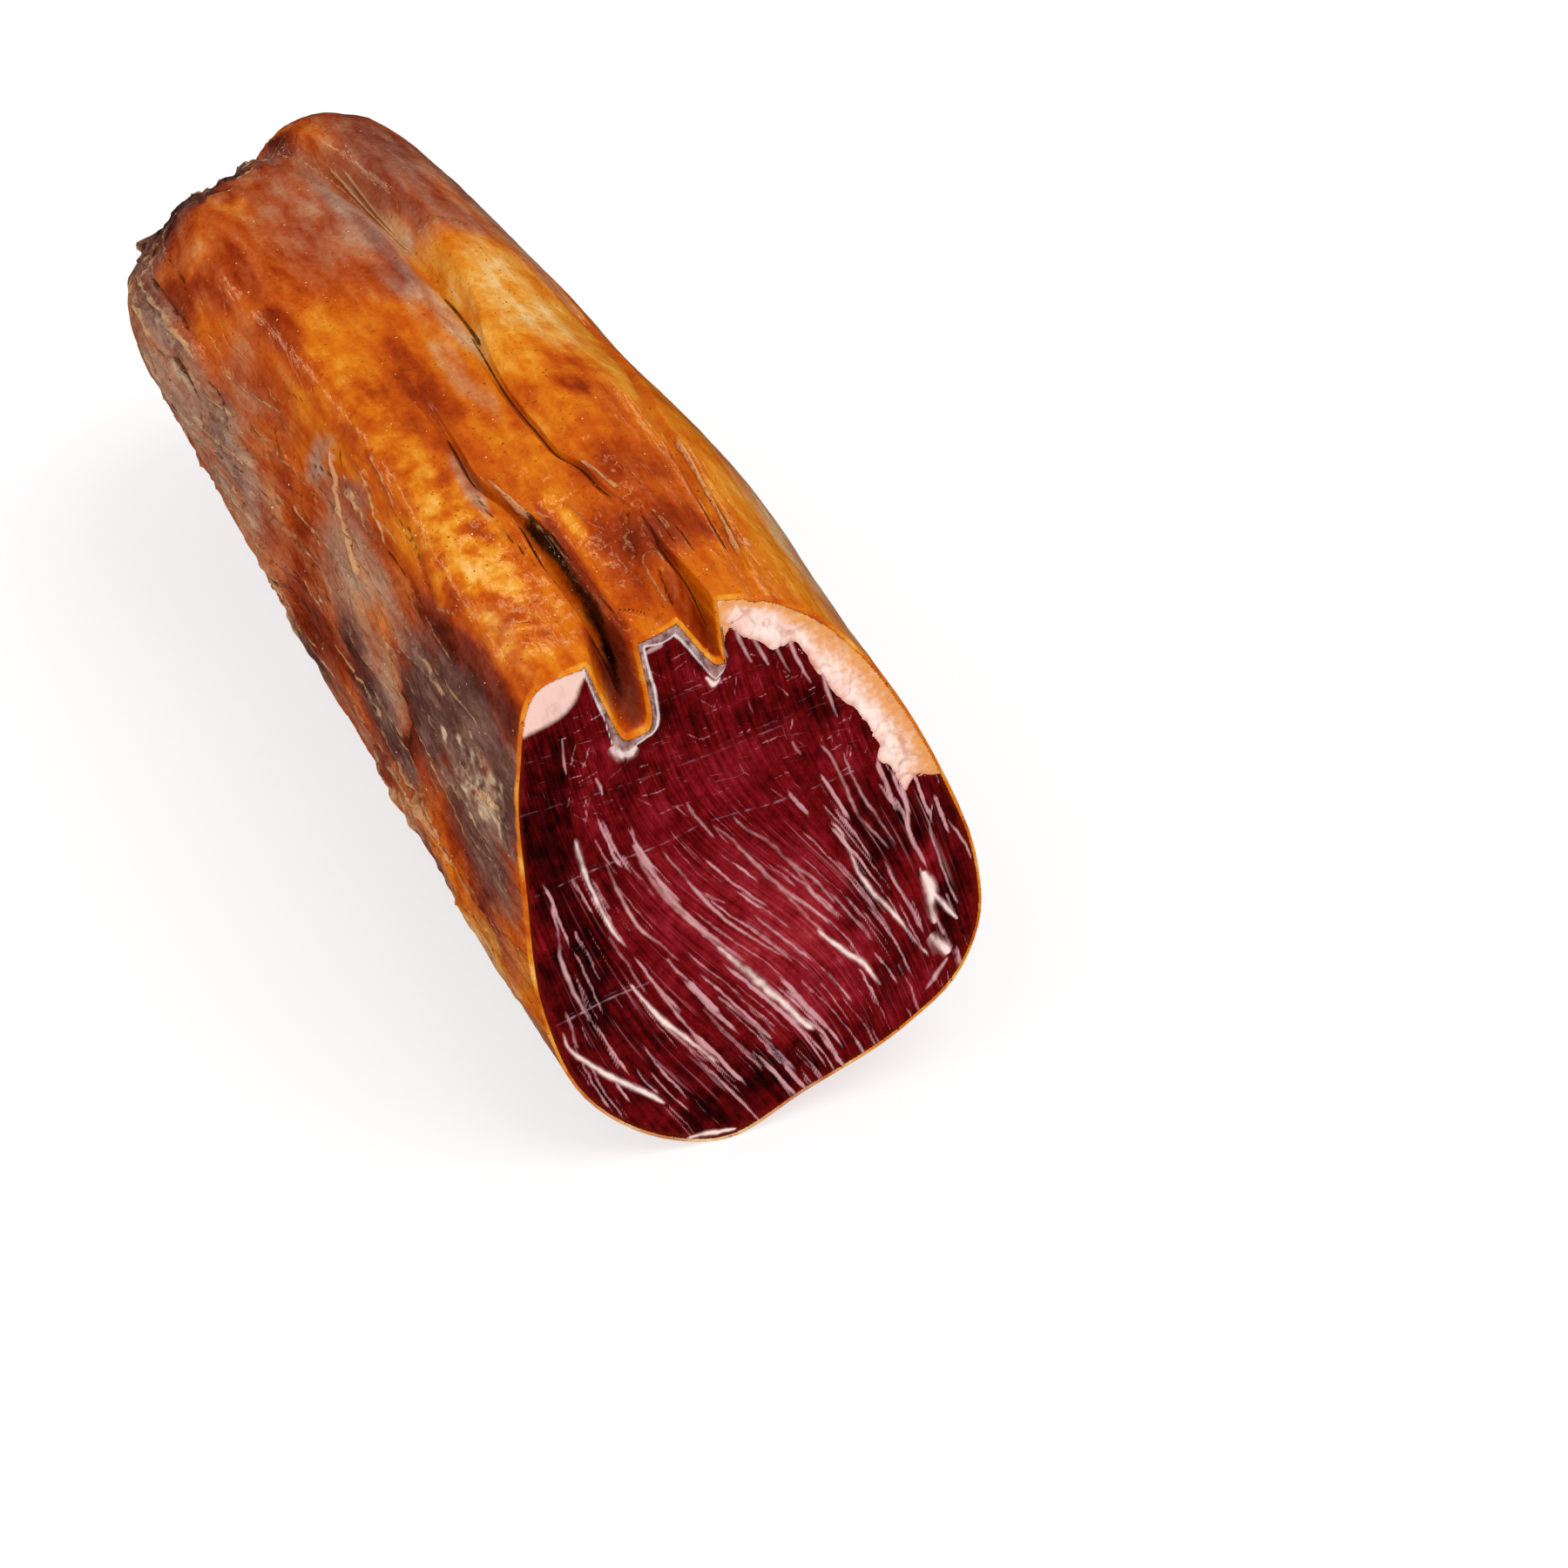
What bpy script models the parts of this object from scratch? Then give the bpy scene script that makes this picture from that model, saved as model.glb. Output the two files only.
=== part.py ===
"""Cured iberian pork loin: a cut piece, lying as it would on a table.

A Blender 4.5 script, in metres, +Z up. The loin runs along +Y, with its slanted cut face
toward -Y. The origin is on the table, under the middle of the piece. There are two solids:
the loin in its casing, and the layer of fat that shows at the upper right of the cut and
runs back under the casing.
"""
import math

import bmesh
import bpy
import numpy as np

MM = 0.001

# Driving sizes, in millimetres
WIDTH = 75.0
FACE_HEIGHT = 88.8
LENGTH = 246.0
CUT_LEAN = math.radians(15.0)
# Clearance round the fat, and the extra clearance under it, full after GAP_RUN
GAP = 0.3
INNER_GAP = 0.4
GAP_RUN = 10.0

# The section's outline at the cut, as shares of WIDTH and FACE_HEIGHT,
# clockwise from where it rests, and the same behind the cut, where the underside lies flat
CUT_OUTLINE = (
    (-0.035, 0.0), (-0.187, 0.040), (-0.333, 0.153), (-0.396, 0.320), (-0.401, 0.550),
    (-0.384, 0.765), (-0.322, 0.911), (-0.200, 0.936), (-0.040, 0.968), (0.070, 0.999),
    (0.160, 0.988), (0.275, 0.938), (0.380, 0.847), (0.475, 0.712), (0.547, 0.565),
    (0.594, 0.420), (0.590, 0.300), (0.530, 0.205), (0.395, 0.127), (0.155, 0.052),
)
SETTLED_OUTLINE = CUT_OUTLINE[:-4] + (
    (0.587, 0.270), (0.520, 0.160), (0.380, 0.058), (0.185, 0.0))
SETTLED_AT = 40.0
# Length of the outline that widths along the surface are turned into shares with, and the
# share on each side of a point that its outward direction is worked out from
AROUND = 276.0
NUDGE = 0.002
# Part of the way round that is the top, where the folds lie, and how finely it is read
TOP_FROM = 0.36
TOP_TO = 0.62
TOP_PLACES = 131

# Girth and sideways drift by distance from the cut; girth grows from GIRTH_CENTRE
GIRTH_AT = (0.0, 33.0, 66.0, 130.0, 200.0, LENGTH)
GIRTH = (1.0, 1.017, 1.027, 0.987, 0.920, 0.895)
DRIFT = (0.0, -0.4, 0.4, -1.2, -1.8, -2.2)
GIRTH_CENTRE = 6.5
UPRIGHT_AT = 120.0

# The blunt far end rounds off from END_FROM and stands askew
END_FROM = 150.0
END_POWER = 4.0
END_CENTRE = (-5.0, 38.0)
END_TIP = 0.05
SKEW = 0.27
SKEW_FROM = 100.0
SKEW_FULL = 230.0
SKEW_CENTRE = 5.0

# Broad swellings: place round the outline, spread round it, where it starts and is full
# along the length, and how far it stands out
SWELLINGS = (
    (0.275, 0.078, 105.0, 205.0, 11.5),
    (0.56, 0.05, 200.0, 225.0, 0.8),
    (0.55, 0.05, 120.0, 150.0, 1.2),
)
# The upper left corner of the far end is cut back
CORNER_AT = 0.37
CORNER_SPREAD = 0.07
CORNER_BACK = 9.0
CORNER_FROM = 175.0

# Folds along the top: distance from the cut, place across, depth, width to the left and
# to the right of its line
LEFT_FOLD = (
    (0.0, -11.5, 13.4, 4.4, 4.4), (14.0, -11.3, 12.6, 3.2, 3.9), (32.0, -11.6, 11.0, 2.3, 3.0),
    (50.0, -12.0, 8.0, 1.9, 2.4), (62.0, -14.2, 5.6, 1.7, 2.4), (80.0, -13.4, 3.8, 1.7, 2.4),
    (100.0, -13.9, 2.8, 1.8, 2.6), (125.0, -13.6, 1.4, 2.0, 2.8), (150.0, -13.6, 0.0, 2.0, 2.4),
    (LENGTH, -13.6, 0.0, 2.0, 2.4),
)
MIDDLE_FOLD = (
    (0.0, 4.2, 9.6, 5.6, 1.5), (25.0, 2.4, 4.0, 3.2, 1.6), (40.0, 4.6, 1.4, 2.4, 1.6),
    (54.0, 3.4, 1.0, 1.8, 1.6), (70.0, -0.8, 1.4, 1.6, 1.6), (90.0, -2.0, 1.8, 1.8, 1.8),
    (112.0, -1.0, 2.2, 2.6, 2.8), (135.0, 0.2, 3.6, 6.0, 7.0), (162.0, 1.6, 5.4, 8.5, 10.5),
    (185.0, 0.6, 6.0, 8.5, 12.0), (205.0, -2.4, 4.6, 7.5, 12.0), (225.0, -5.0, 2.2, 7.5, 11.0),
    (LENGTH, -6.0, 0.6, 7.5, 11.0),
)
RIGHT_FOLD = (
    (0.0, 12.0, 0.6, 3.0, 3.0), (36.0, 15.0, 1.8, 3.0, 3.6), (73.0, 18.0, 2.0, 3.0, 4.0),
    (106.0, 22.4, 2.0, 3.0, 4.0), (140.0, 22.0, 0.6, 3.0, 4.0), (LENGTH, 22.0, 0.0, 3.0, 4.0),
)

# The fat: how thick it is by distance from the cut, how lobed, and where it ends. It thins
# to FAT_EDGE_MIN over FAT_EDGE_RUN, and to FAT_TOP_SHARE of its thickness over FAT_TOP_RUN
FAT_AT = (0.0, 60.0, 130.0, 185.0)
FAT_THICK = (7.2, 6.4, 4.6, 2.4)
FAT_LENGTH = 185.0
FAT_RIGHT_EDGE = 0.655
FAT_EDGE_MIN = 1.2
FAT_EDGE_RUN = 0.03
FAT_TOP_SHARE = 0.75
FAT_TOP_RUN = 0.012
THINNEST = 1.0
FAT_LOBE = 0.9
FAT_LOBES = 3

# Puckers where the casing is gathered at the far end, strongest at PUCKER_AT
PUCKER_FROM = 205.0
PUCKER_AT = 0.36
PUCKER_SPREAD = 0.16
PUCKER_DEPTH = 0.9
PUCKERS = 26

# Points round a section, between the fold lines, and sections along the length
ROUND_STEPS = (30, 5, 5, 3, 5, 4, 1, 1, 3, 2, 2, 12, 1, 24)
ALONG_STEPS = 30
END_STEPS = 16
STRAIGHT_TO = 190.0
NEAR_FAT_END = 2.0
SHARP_ANGLE = math.radians(50.0)

# Plain colours of the two solids
CASING_COLOUR = (0.36, 0.11, 0.02)
CASING_ROUGHNESS = 0.35
FAT_COLOUR = (0.80, 0.55, 0.42)
FAT_ROUGHNESS = 0.40


def eased(share):
    """Zero to one with a soft start and end."""
    share = np.clip(share, 0.0, 1.0)
    return share * share * (3.0 - 2.0 * share)


def bump(distance, spread):
    """One at the middle, falling away on both sides."""
    return np.exp(-(distance / spread) ** 2)


def through(places, values, at):
    """Smooth curve through values given at places, read at the places in at."""
    places = np.asarray(places, float)
    values = np.asarray(values, float)
    slopes = np.gradient(values, places)
    at = np.clip(at, places[0], places[-1])
    low = np.clip(np.searchsorted(places, at, side="right") - 1, 0, len(places) - 2)
    step = places[low + 1] - places[low]
    t = (at - places[low]) / step
    return (values[low] * (2 * t ** 3 - 3 * t ** 2 + 1)
            + values[low + 1] * (3 * t ** 2 - 2 * t ** 3)
            + slopes[low] * step * (t ** 3 - 2 * t ** 2 + t)
            + slopes[low + 1] * step * (t ** 3 - t ** 2))


def closed_places(outline):
    """Each outline point's share of the way round, and its repeat past the end."""
    points = np.array(outline + outline[:1]) * (WIDTH, FACE_HEIGHT)
    steps = np.hypot(*np.diff(points, axis=0).T)
    return np.concatenate([[0.0], np.cumsum(steps)]) / steps.sum()


OUTLINE_AT = closed_places(CUT_OUTLINE)


def round_outline(outline, share):
    """Point on the closed outline at a share of the way round, in millimetres."""
    points = np.array(outline) * (WIDTH, FACE_HEIGHT)
    places = np.concatenate([OUTLINE_AT[-4:-1] - 1.0, OUTLINE_AT, OUTLINE_AT[1:4] + 1.0])
    points = np.concatenate([points[-3:], points, points[:4]])
    return np.stack([through(places, points[:, axis], share) for axis in (0, 1)], axis=-1)


def smooth_section(share, along):
    """Section without folds: across and up, in millimetres, with its outward direction."""
    settle = eased(along / SETTLED_AT)

    def place(at):
        at = np.mod(at, 1.0)
        flat = round_outline(CUT_OUTLINE, at) * (1.0 - settle)
        flat += round_outline(SETTLED_OUTLINE, at) * settle
        girth = through(GIRTH_AT, GIRTH, along)
        across = (flat[..., 0] - GIRTH_CENTRE) * girth + GIRTH_CENTRE
        across += through(GIRTH_AT, DRIFT, along)
        up = np.maximum(flat[..., 1], 0.0) * girth * math.cos(CUT_LEAN)
        return np.stack([across, up], axis=-1)

    here = place(share)
    run = place(share + NUDGE) - place(share - NUDGE)
    out = np.stack([-run[..., 1], run[..., 0]], axis=-1)
    out /= np.maximum(np.hypot(out[..., 0], out[..., 1]), 1e-9)[..., None]
    return here, out


def top_share(across, along):
    """Share of the way round of the point on the top at a place across."""
    shares = np.linspace(TOP_FROM, TOP_TO, TOP_PLACES)
    line = smooth_section(shares, along)[0][:, 0]
    return float(np.interp(across, line, shares))


def fold_line(fold, along):
    """A fold's line, left lip and right lip as shares of the way round, and its depth."""
    table = np.array(fold)
    across, depth, left, right = (
        float(through(table[:, 0], table[:, column], along)) for column in (1, 2, 3, 4))
    line = top_share(across, along)
    return line, line - left / AROUND, line + right / AROUND, max(depth, 0.0)


def ring_shares(along):
    """Shares of the way round for one section, with points on each fold's line and lips."""
    left = fold_line(LEFT_FOLD, along)
    middle = fold_line(MIDDLE_FOLD, along)
    right = fold_line(RIGHT_FOLD, along)
    slot = GAP / AROUND
    marks = [0.0, left[1], left[0], left[2], middle[1], middle[0], middle[2],
             middle[2] + 4 * slot, middle[2] + 5 * slot, right[1], right[0], right[2],
             FAT_RIGHT_EDGE, FAT_RIGHT_EDGE + slot, 1.0]
    for index in range(1, len(marks) - 1):
        marks[index] = max(marks[index], marks[index - 1] + slot)
    shares = [np.linspace(a, b, steps, endpoint=False)
              for a, b, steps in zip(marks[:-1], marks[1:], ROUND_STEPS)]
    return np.concatenate(shares), (left, middle, right)


def fold_depth(shares, folds):
    """How far the folds draw the casing in at each share of the way round."""
    depth = np.zeros_like(shares)
    for line, left, right, deep in folds:
        side = np.where(shares < line, line - left, right - line)
        reach = np.clip(np.abs(shares - line) / np.maximum(side, 1e-6), 0.0, 1.0)
        depth += deep * 0.5 * (1.0 + np.cos(math.pi * reach ** 2))
    return depth


def relief(shares, along):
    """Swellings and puckers that stand out from the smooth section."""
    height = np.zeros_like(shares)
    for place, spread, start, full, proud in SWELLINGS:
        height += proud * bump(shares - place, spread) * eased((along - start) / (full - start))
    gathered = eased((along - PUCKER_FROM) / (LENGTH - PUCKER_FROM))
    upper = bump(shares - PUCKER_AT, PUCKER_SPREAD)
    height += PUCKER_DEPTH * gathered * upper * np.sin(2 * math.pi * PUCKERS * shares)
    return height


def end_shrink(along):
    """How much of its size a section keeps where the far end rounds off."""
    beyond = np.clip((along - END_FROM) / (LENGTH - END_FROM), 0.0, 1.0)
    return max((1.0 - beyond ** END_POWER) ** (1.0 / END_POWER), END_TIP)


def body_ring(along, shares, sink):
    """Points of one section in millimetres: along the loin, with the casing sunk by sink."""
    section, out = smooth_section(shares, along)
    section = section - out * sink[:, None]
    centre = np.array(END_CENTRE)
    section = centre + (section - centre) * end_shrink(along)
    section[:, 1] = np.maximum(section[:, 1], 0.0)
    across, up = section.T
    lean = up * math.tan(CUT_LEAN)
    forward = along + lean * max(0.0, 1.0 - along / UPRIGHT_AT)
    forward = forward + SKEW * (across - SKEW_CENTRE) * eased(
        (along - SKEW_FROM) / (SKEW_FULL - SKEW_FROM))
    corner = bump(shares - CORNER_AT, CORNER_SPREAD)
    forward = forward - CORNER_BACK * corner * eased(
        (along - CORNER_FROM) / (LENGTH - CORNER_FROM))
    return np.stack([across, forward, up], axis=-1)


def fat_depth(shares, along):
    """Thickness of the fat at each share of the way round, thin toward its lower edge."""
    thick = through(FAT_AT, FAT_THICK, along)
    start, end = shares[0], shares[-1]
    lobes = FAT_LOBE * np.sin(2 * math.pi * FAT_LOBES * (shares - start) / (end - start))
    edge = eased((end - shares) / FAT_EDGE_RUN)
    near = eased((shares - start) / FAT_TOP_RUN)
    wave = thick + lobes * thick / FAT_THICK[0]
    return FAT_EDGE_MIN + (wave - FAT_EDGE_MIN) * edge * (
        FAT_TOP_SHARE + (1.0 - FAT_TOP_SHARE) * near)


def fat_span():
    """The first and last of a ring's points that lie over the fat."""
    return sum(ROUND_STEPS[:8]), sum(ROUND_STEPS[:12])


def stations():
    """Distances from the cut: even along the loin, then closer round the far end."""
    straight = np.linspace(0.0, STRAIGHT_TO, ALONG_STEPS, endpoint=False)
    turn = np.sin(np.linspace(0.0, math.pi / 2, END_STEPS))
    bend = STRAIGHT_TO + (LENGTH - STRAIGHT_TO) * turn
    fat_end = np.array([FAT_LENGTH + GAP, FAT_LENGTH + 3 * GAP])
    kept = straight[np.abs(straight - FAT_LENGTH) > NEAR_FAT_END]
    return np.sort(np.concatenate([kept, fat_end, bend]))


def loin_rings():
    """Sections of the loin, which leaves room for the fat near the cut."""
    rings = []
    first, last = fat_span()
    for along in stations():
        shares, folds = ring_shares(along)
        sink = fold_depth(shares, folds) - relief(shares, along)
        if along < FAT_LENGTH + 2 * GAP:
            over = slice(first, last + 1)
            room = fat_depth(shares[over], along) + GAP + INNER_GAP * eased(along / GAP_RUN)
            plain = -relief(shares[over], along)
            sink[over] = np.maximum(room + plain, sink[over] + THINNEST)
        rings.append(body_ring(along, shares, sink))
    return np.array(rings)


def fat_rings():
    """Sections of the fat: out along the casing and back along the lean."""
    rings = []
    first, last = fat_span()
    places = stations()
    for along in np.append(places[places < FAT_LENGTH], FAT_LENGTH):
        shares, folds = ring_shares(along)
        over = slice(first, last + 1)
        outer = (fold_depth(shares, folds) - relief(shares, along))[over]
        inner = np.maximum(fat_depth(shares[over], along) - relief(shares[over], along),
                           outer + THINNEST - GAP)
        edge = GAP / AROUND
        kept = np.clip(shares[over], shares[first] + edge, shares[last] - edge)
        casing = body_ring(along, kept, outer)
        lean = body_ring(along, kept, inner)
        rings.append(np.concatenate([casing, lean[::-1]]))
    return np.array(rings)


def skin(name, rings, colour, roughness):
    """Closed solid lofted through the rings, capped at both ends."""
    along_count, round_count, _ = rings.shape
    shape = bmesh.new()
    bmesh.ops.create_grid(shape, x_segments=round_count, y_segments=along_count - 1, size=0.5)
    for vert in shape.verts:
        column = round((vert.co.x + 0.5) * round_count) % round_count
        row = round((vert.co.y + 0.5) * (along_count - 1))
        vert.co = rings[row, column] * MM
    bmesh.ops.remove_doubles(shape, verts=shape.verts, dist=1e-6)
    rim = [edge for edge in shape.edges if edge.is_boundary]
    bmesh.ops.holes_fill(shape, edges=rim, sides=0)
    bmesh.ops.triangulate(shape, faces=shape.faces)
    bmesh.ops.recalc_face_normals(shape, faces=shape.faces)
    mesh = bpy.data.meshes.new(name)
    shape.to_mesh(mesh)
    shape.free()
    mesh.shade_smooth()
    mesh.set_sharp_from_angle(angle=SHARP_ANGLE)
    body = bpy.data.objects.new(name, mesh)
    bpy.context.collection.objects.link(body)
    mesh.materials.append(finish(name, colour, roughness))
    return body


def finish(name, colour, roughness):
    """Plain glossy finish in the piece's own colour."""
    material = bpy.data.materials.new(name)
    material.use_nodes = True
    shader = material.node_tree.nodes["Principled BSDF"]
    shader.inputs["Base Color"].default_value = (*colour, 1.0)
    shader.inputs["Roughness"].default_value = roughness
    return material


def stand(bodies):
    """Put the middle of the whole piece over the origin, with its underside on the table."""
    corners = np.array([vert.co for body in bodies for vert in body.data.vertices])
    low, high = corners.min(axis=0), corners.max(axis=0)
    shift = np.array([(low[0] + high[0]) / 2, (low[1] + high[1]) / 2, low[2]])
    for body in bodies:
        for vert in body.data.vertices:
            vert.co = np.array(vert.co) - shift


def main():
    for old in list(bpy.data.objects):
        bpy.data.objects.remove(old)
    stand([
        skin("loin", loin_rings(), CASING_COLOUR, CASING_ROUGHNESS),
        skin("fat_cap", fat_rings(), FAT_COLOUR, FAT_ROUGHNESS),
    ])


main()
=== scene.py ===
"""Cured pork loin, a cut piece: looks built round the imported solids.

The casing, the lean of the cut and the layer of fat are three pieces, made from the same
sizes and functions as the solids, with finer relief and painted masks for their finishes.
Lengths are in millimetres until a mesh is placed. A place on the casing is its share of the
way round, clockwise from where the cut rests, and its distance from the cut.
"""
import math

import bmesh
import bpy
import numpy as np
from bpy.props import FloatProperty, FloatVectorProperty, IntProperty, PointerProperty
from bpy.types import Operator, Panel, PropertyGroup
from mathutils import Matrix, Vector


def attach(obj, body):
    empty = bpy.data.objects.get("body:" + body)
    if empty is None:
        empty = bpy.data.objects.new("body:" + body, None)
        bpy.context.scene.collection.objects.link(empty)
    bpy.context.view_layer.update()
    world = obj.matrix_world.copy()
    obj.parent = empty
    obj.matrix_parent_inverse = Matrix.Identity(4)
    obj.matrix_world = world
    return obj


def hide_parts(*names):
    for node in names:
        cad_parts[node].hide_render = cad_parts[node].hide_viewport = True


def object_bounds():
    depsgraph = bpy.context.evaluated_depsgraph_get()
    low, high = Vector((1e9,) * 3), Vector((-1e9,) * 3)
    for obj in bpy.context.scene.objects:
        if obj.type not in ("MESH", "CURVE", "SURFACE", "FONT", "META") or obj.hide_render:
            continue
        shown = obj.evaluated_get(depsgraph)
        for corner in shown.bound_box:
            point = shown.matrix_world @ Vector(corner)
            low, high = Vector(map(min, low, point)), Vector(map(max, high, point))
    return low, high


bl_info = {
    "name": "Cured pork loin",
    "version": (1, 0, 0),
    "blender": (4, 5, 0),
    "location": "View3D > Sidebar > Loin",
    "description": "Builds a cut piece of cured pork loin round its solids",
    "category": "Object",
}

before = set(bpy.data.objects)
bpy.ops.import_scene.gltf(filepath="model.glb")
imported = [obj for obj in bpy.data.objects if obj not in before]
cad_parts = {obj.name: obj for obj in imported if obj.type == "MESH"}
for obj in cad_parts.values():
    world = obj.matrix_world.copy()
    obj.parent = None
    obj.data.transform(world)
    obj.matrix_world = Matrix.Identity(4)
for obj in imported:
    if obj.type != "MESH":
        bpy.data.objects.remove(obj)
CAD_LOW, CAD_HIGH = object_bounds()
MM = 0.001

# Sizes of the form. They are those of the solids, but here the folds are narrower and the
# broad dip at the far end is sharper, as the solids have fewer points to show them with
WIDTH = 75.0
FACE_HEIGHT = 88.8
LENGTH = 246.0
CUT_LEAN = math.radians(15.0)
CUT_OUTLINE = (
    (-0.035, 0.0), (-0.187, 0.040), (-0.333, 0.153), (-0.396, 0.320), (-0.401, 0.550),
    (-0.384, 0.765), (-0.322, 0.911), (-0.200, 0.936), (-0.040, 0.968), (0.070, 0.999),
    (0.160, 0.988), (0.275, 0.938), (0.380, 0.847), (0.475, 0.712), (0.547, 0.565),
    (0.594, 0.420), (0.590, 0.300), (0.530, 0.205), (0.395, 0.127), (0.155, 0.052),
)
SETTLED_OUTLINE = CUT_OUTLINE[:-4] + (
    (0.587, 0.270), (0.520, 0.160), (0.380, 0.058), (0.185, 0.0))
SETTLED_AT = 40.0
GIRTH_AT = (0.0, 33.0, 66.0, 130.0, 200.0, LENGTH)
GIRTH = (1.0, 1.017, 1.027, 0.987, 0.920, 0.895)
DRIFT = (0.0, -0.4, 0.4, -1.2, -1.8, -2.2)
GIRTH_CENTRE = 6.5
UPRIGHT_AT = 120.0
END_FROM = 150.0
END_POWER = 4.0
END_CENTRE = (-5.0, 38.0)
END_TIP = 0.05
SKEW = 0.27
SKEW_FROM = 100.0
SKEW_FULL = 230.0
SKEW_CENTRE = 5.0
SWELLINGS = (
    (0.275, 0.078, 105.0, 205.0, 11.5),
    (0.56, 0.05, 200.0, 225.0, 0.8),
    (0.55, 0.05, 120.0, 150.0, 1.2),
)
CORNER_AT = 0.37
CORNER_SPREAD = 0.07
CORNER_BACK = 9.0
CORNER_FROM = 175.0
LEFT_FOLD = (
    (0.0, -12.0, 13.4, 4.0, 4.6), (4.0, -11.9, 11.4, 2.8, 3.6), (9.0, -11.7, 7.6, 1.4, 3.0),
    (16.0, -12.2, 4.2, 0.8, 2.8), (32.0, -12.9, 2.8, 0.7, 2.6), (50.0, -12.8, 2.4, 0.7, 2.0),
    (62.0, -14.9, 1.9, 0.7, 1.3), (80.0, -14.5, 1.2, 0.7, 1.1), (96.0, -14.2, 0.5, 1.0, 1.4),
    (125.0, -14.2, 0.2, 1.4, 1.8), (150.0, -13.6, 0.0, 1.6, 2.0), (LENGTH, -13.6, 0.0, 2.0, 2.4),
)
MIDDLE_FOLD = (
    (0.0, 4.2, 9.6, 5.6, 1.5), (4.0, 4.1, 7.6, 4.4, 1.5), (9.0, 4.0, 3.6, 1.8, 1.3),
    (18.0, 3.2, 1.4, 1.0, 1.0), (28.0, 3.0, 0.3, 1.0, 0.9), (37.0, 2.0, 0.4, 0.8, 0.8),
    (46.0, 0.6, 0.9, 0.8, 0.8), (54.0, 0.1, 1.0, 0.7, 0.7), (62.0, -1.6, 1.0, 0.7, 0.7),
    (72.0, -2.0, 1.0, 0.8, 0.8), (90.0, -2.2, 1.2, 0.9, 0.9), (112.0, -1.0, 1.9, 1.5, 1.8),
    (135.0, 0.4, 3.6, 3.8, 5.6), (162.0, 2.0, 6.2, 4.2, 7.6), (185.0, 1.4, 7.2, 4.4, 8.2),
    (205.0, -1.6, 6.0, 4.4, 8.2), (225.0, -4.6, 3.2, 5.0, 8.2),
    (LENGTH, -6.0, 0.6, 7.5, 11.0),
)
RIGHT_FOLD = (
    (0.0, 12.0, 0.3, 1.2, 1.6), (36.0, 15.0, 1.0, 1.2, 1.8), (73.0, 18.0, 1.4, 1.4, 2.2),
    (106.0, 22.4, 1.6, 2.0, 3.0), (140.0, 22.0, 0.6, 3.0, 4.0), (LENGTH, 22.0, 0.0, 3.0, 4.0),
)
# Where across the top the folds can lie, as shares of the way round
TOP_FROM = 0.36
TOP_TO = 0.62
TOP_PLACES = 131
# Half the step that a section's direction is taken over, as a share of the way round
NUDGE = 0.002
# Smallest gap between a section's marks, in mm
MARK_GAP = 0.3
# A fold wider than this is a dip with a round floor, and a deep narrow one has steep walls
BROAD_FROM = 8.8
BROAD_SPAN = 2.4
STEEP = 2.0
STEEPER_WHERE_DEEP = 1.2
FLATTER_WHERE_BROAD = 0.8
# Puckers at the far end: where they start, how high they are, how many, and where round
PUCKER_FROM = 205.0
PUCKER_DEPTH = 0.9
PUCKERS = 26
PUCKER_AT = 0.36
PUCKER_SPREAD = 0.16
# Knot of gathered casing at the far end: share round, distance, height and half width in mm
KNOT = (0.316, 236.0, 4.5, 2.6)
# Length of the outline that widths along the surface are turned into shares with
AROUND = 276.0

# How far from a crease or ridge its painted mask reaches, in mm
REACH = 2.2
FINE_REACH = 0.9

# Seeded noises: strength, size across and along in mm, seed, and layers of detail
NOISES = {
    "wander": (2.4, 26.0, 30.0, 21, 1), "slow_wrinkles": (1.0, 5.5, 46.0, 31, 3),
    "quick_wrinkles": (1.0, 2.4, 20.0, 41, 3), "swell": (0.30, 13.0, 20.0, 11, 4),
    "grit": (0.06, 1.6, 2.6, 51, 2), "waver": (2.6, 9.0, 18.0, 71, 4),
    "drift": (7.0, 9.0, 18.0, 72, 4), "patchy": (1.0, 30.0, 60.0, 81, 3),
    "rim": (1.6, 4.0, 1.0, 141, 1), "fat_edge": (0.35, 2.2, 2.2, 91, 3),
    "vein_waver_across": (0.16, 2.2, 2.2, 101, 3), "vein_waver_up": (0.16, 2.2, 2.2, 102, 3),
    "vein_shake_across": (0.10, 0.7, 1.4, 103, 2), "vein_shake_up": (0.10, 0.7, 1.4, 104, 2),
    "dashes": (0.72, 0.8, 3.0, 105, 1), "vein_breaks": (0.5, 1.6, 5.0, 107, 3),
    "lean_tone": (0.08, 4.0, 6.0, 109, 4), "lean_rise": (0.04, 4.0, 4.0, 111, 4),
    "fat_rise": (0.10, 3.0, 3.0, 121, 4), "fat_cracks": (1.0, 3.4, 2.6, 131, 2),
}
DRIFT_MOVED = 40.0

# Where the casing is creased all over: how much, and where that starts and is full, as shares
# of the way round and, at the far end, as distances in mm
TOP_CREASED = 0.05
LEFT_CREASED = (0.68, (0.06, 0.14), (0.345, 0.295))
RIGHT_CREASED = (0.5, (0.66, 0.74), (0.10, 0.05))
END_CREASED = (0.5, (196.0, 236.0))
# How deep in mm the lines between wrinkles are, and how wide the painted shade of their creases is
WRINKLE_LINE = 0.35
WRINKLE_SPAN = 0.7
# The wrinkles start behind the cut's edge, between these distances in mm
WRINKLED = (-2.0, 6.0)

# Seeded strands of the casing: the spans of their shares, starts and lengths in mm
LEFT_STRANDS = ((0.125, 0.335), (2.0, 215.0), (8.0, 42.0))
RIGHT_STRANDS = ((0.67, 0.94), (2.0, 205.0), (10.0, 40.0))
RIGHT_STRAND_COUNT = 110
# Gathers round the far end: the span of their shares, and where they lie in mm
GATHER_COUNT = 90
GATHER_SHARES = (0.28, 0.44)
GATHER_END = 238.0
GATHER_SPAN = 22.0

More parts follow.
